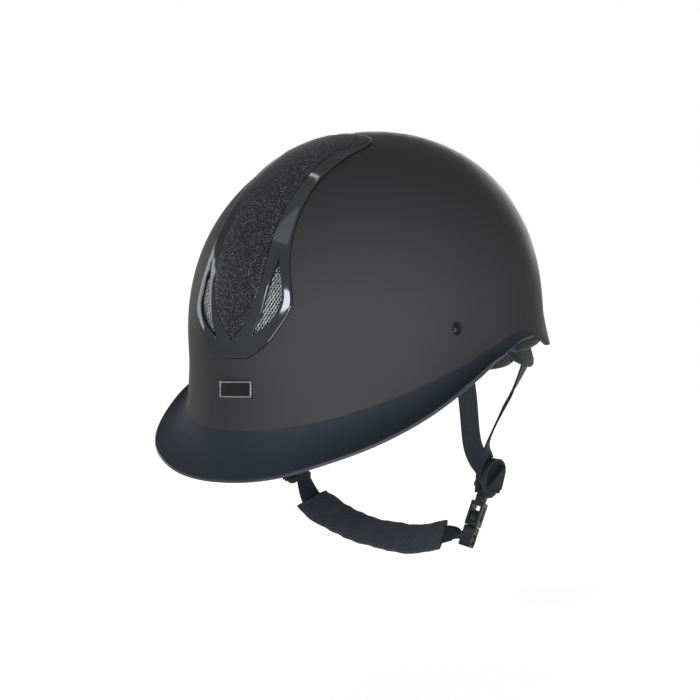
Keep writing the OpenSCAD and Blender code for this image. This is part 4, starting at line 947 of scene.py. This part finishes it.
def lip(u):
    """The brim's outer edge, which draws in to the shell towards its ends."""
    a = np.abs(u)
    c = cosd(a)
    tuck = LIP_TUCK * np.clip(0.35 - c, 0, None) ** 2
    x = np.sign(u) * LIP_HALF_W * np.clip(sind(a), 0, 1) ** LIP_ROUND_X * (1 - tuck)
    y = -LIP_MID - LIP_REACH * np.sign(c) * np.abs(c) ** LIP_ROUND_Y
    near = LIP_CLOSE * brim_end_share(u)
    top = skirt(u, rim_z(u) - SEAT, 0)
    x, y = x * (1 - near) + top[..., 0] * near, y * (1 - near) + top[..., 1] * near
    return points(x, y, smooth(LIP_STOPS, a))


def brim_curve(u, s):
    """The brim's upper face: it leaves the shell along its wall and sweeps out to the lip."""
    a, c = skirt(u, rim_z(u) + BRIM_RISE, -BRIM_TUCK), lip(u)
    b = a + (c - a) * [0.16, 0.16, 0.5]
    s = np.asarray(s, float)[..., None]
    return a * (1 - s) ** 2 + b * 2 * s * (1 - s) + c * s**2


def brim_normal(u, s):
    along = brim_curve(u, np.minimum(1, s + 0.04)) - brim_curve(u, np.maximum(0, s - 0.04))
    out = unit(np.cross(brim_curve(u + 1, s) - brim_curve(u - 1, s), -along))
    near = brim_end_share(u)[..., None]
    return unit(out * (1 - near) + points(sind(u), -cosd(u), 0 * u) * near)


def build_brim():
    u = np.linspace(-BRIM_END, BRIM_END, 209)
    ones = np.ones_like(u)
    steps = 1 - (1 - np.linspace(0, 1, 26)) ** 1.25
    loops = [brim_curve(u, s * ones) for s in steps]
    out = brim_normal(u, ones)
    on = unit(brim_curve(u, ones) - brim_curve(u, 0.9 * ones))
    centre = brim_curve(u, ones) - out * LIP_R
    first = len(loops) - 1
    for a in np.linspace(0, 200, 13)[1:]:
        loops.append(centre + LIP_R * (out * cosd(a) + on * sind(a)))
    last = len(loops)
    loops += [brim_curve(u, s * ones) - brim_normal(u, s * ones) * BRIM_WALL for s in steps[::-1][2:]]
    rows = np.array(loops).transpose(1, 0, 2)
    brim = tube_grid("brim_skin", rows, sharp=60)
    dress(brim, BRIM, "brim", slot="brim")
    # The rolled lip's faces take the lighter lip finish, a painted highlight along the brim's edge.
    brim.data.materials.append(LIP_PAINTED_HIGHLIGHT)
    sides = rows.shape[1]
    for p in brim.data.polygons:
        if p.index < (len(u) - 1) * sides and first <= p.index % sides < last:
            p.material_index = 1


# Pads
PAD_T, PAD_EDGE_T, PAD_CORNER = 7.0, 3.0, 2.6
PAD_REACH = 110  # the mean distance of a pad from the helmet's middle
RIM_DEGREE = 2.0  # millimetres along the surface for one degree of u or t
PIPING_R = 0.8


def wrinkle(places, size, depth, seed):
    """Soft unevenness for cloth, in millimetres, at each place."""
    flat = np.asarray(places, float).reshape(-1, 3)
    out = [noise.noise(Vector((p[0] / size + seed, p[1] / size, p[2] / size))) for p in flat]
    return depth * np.array(out).reshape(np.shape(places)[:-1])


def pad_depth(a, b):
    """A pad's crowned thickness. a and b run from -1 to 1 across it."""
    return PAD_EDGE_T + (PAD_T - PAD_EDGE_T) * np.clip((1 - a**4) * (1 - b**4), 0, None) ** 0.6


def comfort_pad(pad, node, cord, edge):
    """Dresses a pad and sews a cord round its outline."""
    dress(pad, PAD, node, slot="pad")
    dress(tube(cord, edge, PIPING_R, closed=True), THREAD)


def outline(grid):
    """The border of a grid of points, once round."""
    return np.concatenate([grid[0, :-1], grid[:-1, -1], grid[-1, :0:-1], grid[:0:-1, 0]])


def soft_patch(name, node, u, v, z, out, depth, edge, seed):
    """A pad between an outer surface and one depth further in, with round edges and a piped seam."""
    wide = u.max() - u.min()
    tall = float(np.ptp(z[:, z.shape[1] // 2]))
    ends = np.minimum(u - u.min(), u.max() - u) / wide * (PAD_REACH * np.radians(wide))
    lost = rounding(np.minimum(np.minimum(v, 1 - v) * tall, ends), edge) * 0.5
    depth = np.maximum(0.5, depth - lost) + wrinkle(wall(u, z, out), 9, 0.35, seed)
    pad = slab(name, wall(u, z, out - lost), wall(u, z, out - depth), sharp=70)
    comfort_pad(pad, node, name + "_piping", outline(wall(u, z, out - depth * 0.5)))


def pad_grid(start, end, cols, rows):
    """Angles u and shares v over a patch, closer together towards its border."""
    v = (1 - np.cos(np.linspace(0, math.pi, rows))) / 2
    f = np.linspace(0, 1, cols)
    f = f - 0.045 * np.sin(2 * math.pi * f)
    return np.meshgrid(start + (end - start) * f, v)


def band_pad(node, start, end, low, tall, channels):
    """A pad between two angles with sewn channels. Without a low edge it follows the liner's."""
    u, v = pad_grid(start, end, 90, 30)
    a, b = 2 * (u - start) / (end - start) - 1, 2 * v - 1
    v = 0.5 + (v - 0.5) * (1 - 0.3 * np.abs(a) ** 9)
    z = (liner_z(u) + 2 if low is None else low) + v * tall
    groove = 0.4 * np.clip(np.cos(np.radians((u - start) / (end - start) * channels * 360)), 0, None) ** 14
    soft_patch(node + "_cloth", node, u, v, z, PAD_OUT, pad_depth(a, b) * (1 - groove), PAD_CORNER, start)


def build_crown_pad():
    """A four-lobed pad with quilted creases between its lobes."""
    u, v = np.meshgrid(np.linspace(0, 360, 145)[:-1], np.linspace(0, 1, 26) ** 0.8)
    t = 90 - (34 + 7 * cosd(4 * u)) * (1 - v * 0.985)
    lost = rounding((t - t[0]) * RIM_DEGREE, PAD_CORNER) * 0.5
    quilt = 0.9 * np.clip(np.cos(np.radians(4 * u)), 0, None) ** 24 * np.clip(1 - v, 0, 1) ** 0.3
    depth = PAD_EDGE_T + (PAD_T - PAD_EDGE_T) * v**0.5 - lost - quilt
    outer, inner = crown(u, t, PAD_OUT - lost), crown(u, t, PAD_OUT - depth)
    pad = slab("crown_pad_cloth", outer, inner, sharp=70, wrap_cols=True)
    comfort_pad(pad, "crown_pad", "crown_pad_piping", crown(u[0], t[0], PAD_OUT - 1.7))


def build_pads():
    band_pad("brow_pad", -54, 54, None, 27, 3)
    band_pad("side_pad_left", 84, 132, 6, 30, 2)
    band_pad("side_pad_right", -132, -84, 6, 30, 2)
    build_crown_pad()


# Nape
LINING_FROM, LINING_TO, LINING_ROUND = 90, 270, 4.2
LINING_DROP, LINING_OUT, LINING_T = 21.0, -SHELL_WALL - 1, 9.0
FLAP_OUT, FLAP_T, FLAP_DROP = LINING_OUT - LINING_T - SKIN_GAP, 1.5, 38.0
FLAP_FROM, FLAP_TO = 96, 138
FLAP_STOPS = [
    [FLAP_FROM, -LINING_DROP + 4], [104, -FLAP_DROP + 12], [112, -FLAP_DROP + 6], [120, -FLAP_DROP + 3],
    [130, -FLAP_DROP + 5], [FLAP_TO, -FLAP_DROP + 12],
]
FLAP_REACH = 115  # the flaps' distance from the helmet's middle
CRADLE_T, CRADLE_HALF, CRADLE_TOP, DIAL_DROP = 2.2, 36.0, 14, 36.0


def lining_edges(u):
    """The heights of the lining's lower and upper edge."""
    top = liner_z(u) - SKIN_GAP
    fade = np.clip((turn(u) - 87) / 14, 0.3, 1)
    return np.maximum(-LINING_DROP, top - (LINING_DROP - RIM_EAR) * fade), top


def build_lining():
    u, v = pad_grid(LINING_FROM, LINING_TO, 150, 24)
    low, top = lining_edges(u)
    z = low + (top - low) * v
    ends = np.minimum(u - LINING_FROM, LINING_TO - u) * RIM_DEGREE
    lost = rounding(np.minimum(z - low, ends), LINING_ROUND)
    sag = wrinkle(wall(u, z, -9), 11, 0.5, 4.0)
    outer = wall(u, z, LINING_OUT - lost - 0.2)
    inner = wall(u, z, LINING_OUT - LINING_T + np.minimum(lost, LINING_ROUND - 0.1) + sag)
    lining = slab("nape_lining_cloth", outer, inner, sharp=70)
    dress(lining, LINING_PAINTED_SHADE, "nape_lining", slot="lining")
    along = np.linspace(93, 267, 120)
    seam = wall(along, lining_edges(along)[0] + 5.2, LINING_OUT - 0.15)
    sew("nape_lining_stitches", stitches(seam, unit(seam * [1, 1, 0])))


def build_flap(side, name):
    """A woven flap with a rolled hem and a seam above it."""
    u, v = np.meshgrid(np.linspace(FLAP_FROM, FLAP_TO, 70), np.linspace(0, 1, 24))
    top, low = liner_z(u) - SKIN_GAP, smooth(FLAP_STOPS, u)
    z = low + (top - low) * v
    wave = 0.35 * np.sin(np.radians(u * 17)) * (1 - v)
    outer, inner = wall(u, z, FLAP_OUT + wave), wall(u, z, FLAP_OUT - FLAP_T + wave)
    uv = np.stack([np.radians(u) * FLAP_REACH, z], -1)
    label = "nape_flap_" + name
    flap = slab(label + "_cloth", mirror_x(outer, side), mirror_x(inner, side), sharp=50, uv=uv)
    dress(flap, FLAP_PAINTED_SHADE, label, slot="weave")
    along = np.linspace(FLAP_FROM, FLAP_TO, 60)
    edge = smooth(FLAP_STOPS, along)
    hem = wall(along, edge + 0.3, FLAP_OUT - FLAP_T / 2)
    dress(tube(label + "_hem", mirror_x(hem, side), 1.05), THREAD)
    seam = wall(along, edge + 3.2, FLAP_OUT - FLAP_T - 0.05)
    inward = -unit(seam * [1, 1, 0])
    sew(label + "_stitches", stitches(mirror_x(seam, side), mirror_x(inward, side)))


def build_cradle():
    """The moulded cradle at the back and its pad."""
    start, end = 180 - CRADLE_HALF, 180 + CRADLE_HALF
    u, v = pad_grid(start, end, 70, 26)
    low = -DIAL_DROP - 11 + 10 * (np.abs(u - 180) / CRADLE_HALF) ** 2
    z = low + (CRADLE_TOP - low) * v
    ends = np.minimum(u - start, end - u) * RIM_DEGREE
    lost = rounding(np.minimum(np.minimum(v, 1 - v) * (CRADLE_TOP + DIAL_DROP), ends), 0.9)
    outer, inner = wall(u, z, PAD_OUT - lost), wall(u, z, PAD_OUT - CRADLE_T + lost)
    dress(slab("nape_cradle_moulded", outer, inner, sharp=60), FIT, "nape_cradle", slot="frame")

    start, end = start + 6, end - 6
    u, v = pad_grid(start, end, 70, 30)
    a, b = 2 * (u - start) / (end - start) - 1, 2 * v - 1
    v = 0.5 + (v - 0.5) * (1 - 0.25 * np.abs(a) ** 8)
    depth = pad_depth(a, b) - 2 - 1.2 * np.exp(-((a / 0.05) ** 2))
    z = -DIAL_DROP + 2 + v * (DIAL_DROP + 8)
    soft_patch("nape_pad_cloth", "nape_pad", u, v, z, PAD_OUT - CRADLE_T - SKIN_GAP, depth, 1.8, 7.0)


# Harness
LEFT_AT, RIGHT_AT = np.array([86.5, 5, -101.5]), np.array([-87, 7.5, -98.7])
DIV_TURN, DIV_LEAN = 84, 12
DIV_X = np.array([cosd(DIV_TURN), sind(DIV_TURN), 0])
DIV_OUT = unit(np.array([sind(DIV_TURN), -cosd(DIV_TURN), 0]) * cosd(DIV_LEAN) - UP * sind(DIV_LEAN))
DIV_UP = np.cross(DIV_OUT, DIV_X)


def side_point(side, p):
    """A point given across, up and out from a strap divider, with the right side mirrored to the left."""
    at = LEFT_AT if side > 0 else RIGHT_AT * [-1, 1, 1]
    return at + DIV_X * p[0] + DIV_UP * p[1] + DIV_OUT * p[2]


LEFT_BAR = side_point(1, (6.2, -7, -9.3))
RIGHT_BAR = side_point(-1, (-1, -6.3, -8.3)) * [-1, 1, 1]
SOCKET_BAR = np.array([74.4, 10.6, -115.4])
PULL = unit([-0.207, -0.395, -0.895])
BUCKLE_OUT = across([0.874, 0.336, -0.35], PULL)
BUCKLE_X = np.cross(-PULL, BUCKLE_OUT)
SOCKET_LOW = -20.0
PLUG_BAR = SOCKET_BAR - PULL * (SOCKET_LOW - SEAT - 8.6)
SWING_AXIS = unit(np.cross(SOCKET_BAR - PULL * (SOCKET_LOW + 4) - RIGHT_BAR, PULL))
WEB_ALONG = unit(SOCKET_BAR - LEFT_BAR)
RING_R = 1.65
EYE_MID = RING_R + WEB_T / 2
STRAP_D = RIVET_D - SHELL_WALL - STRAP_GAP - WEB_T / 2
STRAP_STEPS = 14


def front_path(side):
    shift = side_point(side, (0, 0, 0)) - LEFT_AT
    return [
        in_plane(STRAP_D, RIVET_S, RIVET_Z + 9), in_plane(STRAP_D, RIVET_S + 0.3, RIVET_Z - 4),
        in_plane(STRAP_D - 0.4, RIVET_S + 3.4, -13), in_plane(STRAP_D - 6.8, RIVET_S + 13.6, -37),
        in_plane(89, 7, -71) + shift * 0.6, side_point(side, (-13, 17.3, -2.3)),
        side_point(side, (-7.6, 9.4, -SEAT - WEB_T / 2)), side_point(side, (0.6, -2.4, -SEAT - WEB_T / 2)),
    ]


FRONT_AIMS = [STRAP_BACK] * 6 + [DIV_X] * 2
REAR_U = 132
REAR_OFF = FLAP_OUT - FLAP_T - SEAT - WEB_T / 2 - 0.9


def rear_path(side):
    shift = side_point(side, (0, 0, 0)) - LEFT_AT
    return [
        wall(REAR_U + 3, -LINING_DROP - 1.5, REAR_OFF), wall(REAR_U - 1, -LINING_DROP - 11, REAR_OFF - 0.9),
        np.array([79.4, 44, -55.5]) + shift * 0.4, np.array([83.6, 14, -74.5]) + shift * 0.8,
        side_point(side, (1, 12, -4.8)), side_point(side, (0.3, 6, -2 * SEAT - WEB_T * 1.5 - 0.3)),
        side_point(side, (0, -2.6, -2 * SEAT - WEB_T * 1.5)),
    ]


REAR_AIMS = [
    (-0.23, 0.51, -0.74), (-0.26, 0.49, -0.75), (-0.72, 0.3, -0.62), (-0.62, 0.5, -0.6), (0.1, 0.95, -0.2),
    DIV_X, DIV_X,
]
CHIN_LEAVE = across([0.65, -0.05, -0.83], SWING_AXIS)
CHIN_POINTS = [
    RIGHT_BAR + CHIN_LEAVE * EYE_MID, (-68, 5, -121.1), (-52.4, 2, -128.8), (-35.5, -1, -134.4),
    (-15.2, -4, -139.1), (8.4, -7, -141.3), (30.5, -8, -142.1), (52.9, -7, -137.9), (60.6, -4.2, -137.3),
    PLUG_BAR - BUCKLE_OUT * EYE_MID,
]
CHIN_AIMS = [
    SWING_AXIS, (0.25, 0.8, 0.5), (0.2, 0.74, 0.64), (0.1, 0.75, 0.66), (0, 0.75, 0.66), (0, 0.75, 0.66),
    (0, 0.75, 0.66), (0, 0.76, 0.64), (-0.28, 0.85, 0.3), BUCKLE_X,
]


def eye(name, at, axis):
    """A turn of webbing round a bar."""
    side = across([0.3, 0.2, 0.9], axis)
    other = np.cross(axis, side)
    a = np.linspace(0, 2 * math.pi, 40, endpoint=False)[:, None, None]
    section = strip_section(WEB_W, WEB_T)[None]
    out = np.cos(a) * side + np.sin(a) * other
    rows = at + axis * section[..., :1] + out * (EYE_MID + section[..., 1:])
    uv = np.stack(np.broadcast_arrays(section[..., 0], a[..., 0] * EYE_MID), -1)
    faces = grid_faces(len(rows), section.shape[1], wrap_rows=True)
    return make(name, rows, faces, uv, sharp=50)


def stitch_lines(path, x, y, offsets, height):
    """Rows of stitches along both faces of a strip, at sideways offsets. height is half its thickness."""
    out = []
    for face in (height, -height):
        for off in offsets:
            out += stitches(path + x * off + y * face, y * np.sign(face))
    return out


def build_strap(node, side, route, aims):
    """One strap of webbing. Returns its points and directions."""
    stops, aims = mirror_x(route, side), mirror_x(aims, side)
    web = strip(node + "_web", stops, aims, WEB_W, WEB_T, STRAP_STEPS)
    dress(web, WEB, node, slot="webbing")
    return strip_frames(stops, aims, STRAP_STEPS)


def build_socket_web():
    """The web from the left divider to the buckle: an eye at each end and a doubled, sewn middle."""
    left_axis = across(DIV_X, WEB_ALONG)
    web = join("socket_web_loop", [eye("eye_a", LEFT_BAR, left_axis), eye("eye_b", SOCKET_BAR, BUCKLE_X)])
    dress(web, WEB, "socket_web", slot="webbing")
    start, end = LEFT_BAR + WEB_ALONG * EYE_MID, SOCKET_BAR - WEB_ALONG * EYE_MID
    stops = [start + (end - start) * f for f in (0, 0.5, 1)]
    aims = [left_axis, left_axis + BUCKLE_X, BUCKLE_X]
    dress(strip("socket_web_doubled", stops, aims, WEB_W - 0.6, 2 * WEB_T - 0.4, 10), WEB)
    sewn = [start + (end - start) * f for f in (0.1, 0.9)]
    sew("socket_web_stitches", stitch_lines(*strip_frames(sewn, [left_axis, BUCKLE_X], 8), (-5, 0, 5), 1.15))


def build_straps():
    for side, name in SIDES:
        build_strap("front_strap_" + name, side, front_path(side), FRONT_AIMS)
        path, x, y = build_strap("rear_strap_" + name, side, rear_path(side), REAR_AIMS)
        end = STRAP_STEPS - 1
        sew("rear_strap_%s_stitches" % name, stitch_lines(path[:end], x[:end], y[:end], (-5.5, 5.5), 0.62))
    build_socket_web()
    chin = strip("chin_strap_web", CHIN_POINTS, CHIN_AIMS, WEB_W, WEB_T, 12)
    dress(chin, WEB, "chin_strap", body="chin_assembly", slot="webbing")
    dress(eye("chin_strap_eye_right", RIGHT_BAR, SWING_AXIS), WEB, body="chin_assembly")
    dress(eye("chin_strap_eye_left", PLUG_BAR, BUCKLE_X), WEB, body="chin_assembly")


CHIN_PAD_W, CHIN_PAD_T, CHIN_PAD_STEPS = 25.0, 7.0, 24
CHIN_PAD_FIRST, CHIN_PAD_LAST = 1, 7  # the strap's stops at the pad's ends
HEM, HEM_SEAM = 1.6, 4.2  # distances from an end of the sleeve


def uneven(x, y, z):
    return noise.noise(Vector((x, y, z)))


def chin_pad_section(s, q, from_end):
    """The sleeve's outline at length s, a share q of the way along, as distances across and through."""
    a = np.linspace(0, 360, 56, endpoint=False)
    c, sn = cosd(a), sind(a)
    gather = 0.2 * uneven(s / 2.2, 3.1, 0) + 0.9 * uneven(s / 9.0, 0, 1.7)
    half = CHIN_PAD_W / 2 - 1.6 * math.sin(math.pi * q) + gather * np.abs(c) ** 3
    slow = np.array([uneven(s / 7.5, cosd(k) * 1.4, sind(k) * 1.2 + 5) for k in a])
    fine = np.array([uneven(s / 2.4, cosd(k) * 2.5, 9 + sind(k)) for k in a])
    thick = CHIN_PAD_T / 2 * (1 - 0.3 * abs(2 * q - 1) ** 6) * (1 + 0.14 * slow + 0.02 * fine)
    seam = math.exp(-((from_end - HEM_SEAM) / 0.7) ** 2)
    hem = 1 - 0.45 * float(rounding(from_end, HEM)) / HEM - 0.12 * seam
    x = half * np.sign(c) * np.abs(c) ** 0.7
    y = thick * hem * np.sign(sn) * np.abs(sn) ** 0.8
    lap = 0.5 * (1 / (1 + np.exp(-(x - 2.5) / 0.35))) * (sn < 0)
    return x, y - lap


def build_chin_pad():
    """A padded sleeve round the strap: gathered along its edges, with a lapped closure along the outside."""
    path, x, y = strip_frames(CHIN_POINTS, CHIN_AIMS, CHIN_PAD_STEPS)
    first, last = CHIN_PAD_FIRST * CHIN_PAD_STEPS, CHIN_PAD_LAST * CHIN_PAD_STEPS
    s = lengths(path)
    rows, uv = [], []
    for i in range(first, last + 1):
        q = (i - first) / (last - first)
        px, py = chin_pad_section(s[i], q, min(q, 1 - q) * (s[last] - s[first]))
        rows.append(path[i] + x[i] * px[:, None] + y[i] * py[:, None])
        uv.append(np.stack([px, np.full_like(px, s[i])], -1))
    pad = tube_grid("chin_pad_cover", rows, np.array(uv), sharp=75)
    dress(pad, COVER, "chin_pad", body="chin_assembly", slot="cover")
    keep = slice(first + 3, last - 2)
    lap_line = path[keep] + x[keep] * 3.6 - y[keep] * (CHIN_PAD_T / 2 + 0.45)
    sew("chin_pad_stitches", stitches(lap_line, -y[keep]), "chin_assembly", 0.22)


# Rigid small parts
def build_hardware():
    softened("badge_rim", 0.15, BADGE_RIM, "trim")
    softened("badge_plate", 0.12, BADGE, "black")
    softened("side_rivets", 0.25, RIVET, "rivet")
    softened("rivet_washers", 0.12, STEEL, "steel")
    softened("dial_housing", 0.6, FIT, "frame")
    softened("dial", 0.35, FRAME, "black", "dial_wheel")
    for _, name in SIDES:
        softened("band_" + name, 0.2, FIT, "frame", "adjuster_" + name)
    for _, name in SIDES:
        softened("divider_" + name, 0.4, FRAME, "buckle")
        softened("lever_" + name, 0.35, BUCKLE, "buckle", "lever_" + name[0])
    softened("buckle_socket", 0.8, BUCKLE, "buckle", segments=3)
    softened("buckle_plug", 0.8, BUCKLE, "buckle", "chin_assembly", 3)
    for end in ("front", "rear"):
        softened("prong_" + end, 0.35, PRONG, "buckle", "prong_" + end[0])


# Camera, light and floor, in metres
CAMERA_AT = Vector((0.7800, -0.9997, 0.1283))
CAMERA_RIGHT = Vector((0.785, 0.612, -0.095))
CAMERA_UP = Vector((0.006, 0.146, 0.989))
CAMERA_LENS, CAMERA_SENSOR = 96.71, 36
FLOOR_Z, FLOOR_R = -0.235, 6  # clear of the chin strap when it hangs open
FLOOR_NEAR, FLOOR_FAR = 0.3, 1.2  # where its fade to pure white starts and ends
FLOOR_GLOW = 0.5  # the floor's own glow beside the object, where 1 is white
WORLD_LIGHT = 0.1


def build_camera():
    data = bpy.data.cameras.new("camera")
    data.lens, data.sensor_width, data.clip_end = CAMERA_LENS, CAMERA_SENSOR, 50
    camera = place("camera", data)
    right = CAMERA_RIGHT.normalized()
    up = (CAMERA_UP - CAMERA_UP.dot(right) * right).normalized()
    back = right.cross(up)
    camera.matrix_world = Matrix.Translation(CAMERA_AT) @ Matrix((right, up, back)).transposed().to_4x4()
    bpy.context.scene.camera = camera


def build_world():
    """Weak even light, and pure white where the camera, gloss or glass looks past the floor."""
    world = bpy.data.worlds.new("studio")
    bpy.context.scene.world = world
    world.use_nodes = True
    world.node_tree.nodes.clear()
    n = Nodes(world.node_tree)
    light = n.node("Background", Color=(0.97, 0.98, 1, 1), Strength=WORLD_LIGHT).outputs[0]
    white = n.node("Background", Color=(1, 1, 1, 1), Strength=1).outputs[0]
    n.node("OutputWorld", Surface=n.mixed("MixShader", n.seen(), light, white))


def build_floor():
    """Pale paper that takes the shadow and fades to the background's white."""
    bm = bmesh.new()
    bmesh.ops.create_circle(bm, cap_ends=True, segments=96, radius=FLOOR_R)
    mesh = bpy.data.meshes.new("floor")
    bm.to_mesh(mesh)
    bm.free()
    floor = place("floor", mesh)
    floor.location.z = FLOOR_Z
    f = Finish("floor_paper", (0.93, 0.93, 0.93), 0.9)
    away = f.node("VectorMath", operation="LENGTH", Vector=f.where()).outputs["Value"]
    share = f.span(away, FLOOR_NEAR, FLOOR_FAR, 0.0, 1.0)
    level = f.math("MULTIPLY", f.span(share, 0, 1, FLOOR_GLOW, 1.0), f.seen())
    glow = f.node("Emission", Color=(1, 1, 1, 1), Strength=level).outputs[0]
    near = f.mixed("AddShader", f.bsdf.outputs[0], glow)
    surface = f.tree.nodes["Material Output"].inputs["Surface"]
    f.tree.links.new(f.mixed("MixShader", share, near, glow), surface)
    mesh.materials.append(f.mat)


def lamp(name, at, size, power, aim=(0, 0, 0)):
    """A soft lamp of two sides in metres and a power in watts."""
    data = bpy.data.lights.new(name, "AREA")
    data.shape, data.energy = "RECTANGLE", power
    data.size, data.size_y = size
    obj = place(name, data)
    obj.location = at
    obj.rotation_euler = (Vector(aim) - Vector(at)).to_track_quat("-Z", "Y").to_euler()


def build_lamps():
    lamp("key", (1.5, -1.25, 0.02), (1.0, 0.3), 20)
    lamp("table", (0.44, -0.47, FLOOR_Z + 0.002), (0.5, 0.5), 7, (0.44, -0.47, 1))
    lamp("front", (0.32, -1.85, 0.79), (0.5, 0.4), 10)
    lamp("overhead", (-0.5, 0.25, 1.9), (0.05, 0.7), 1)
    lamp("rear", (-0.8, 1.8, 0.25), (1.1, 0.6), 22)
    lamp("low_left", (-1.9, -0.05, 0.42), (0.8, 0.7), 14)
    lamp("soft_top", (-0.25, -0.8, 1.75), (0.55, 0.7), 1.2)
    bpy.context.scene.view_settings.view_transform = "Standard"


build_camera()
build_shell()
build_liner()
build_panel()
build_glitter()
for side, name in SIDES:
    build_vent_mesh(side, "vent_mesh_" + name)
build_brim()
build_pads()
build_lining()
for side, name in SIDES:
    build_flap(side, name)
build_cradle()
build_straps()
build_chin_pad()
build_hardware()
build_world()
build_floor()
build_lamps()
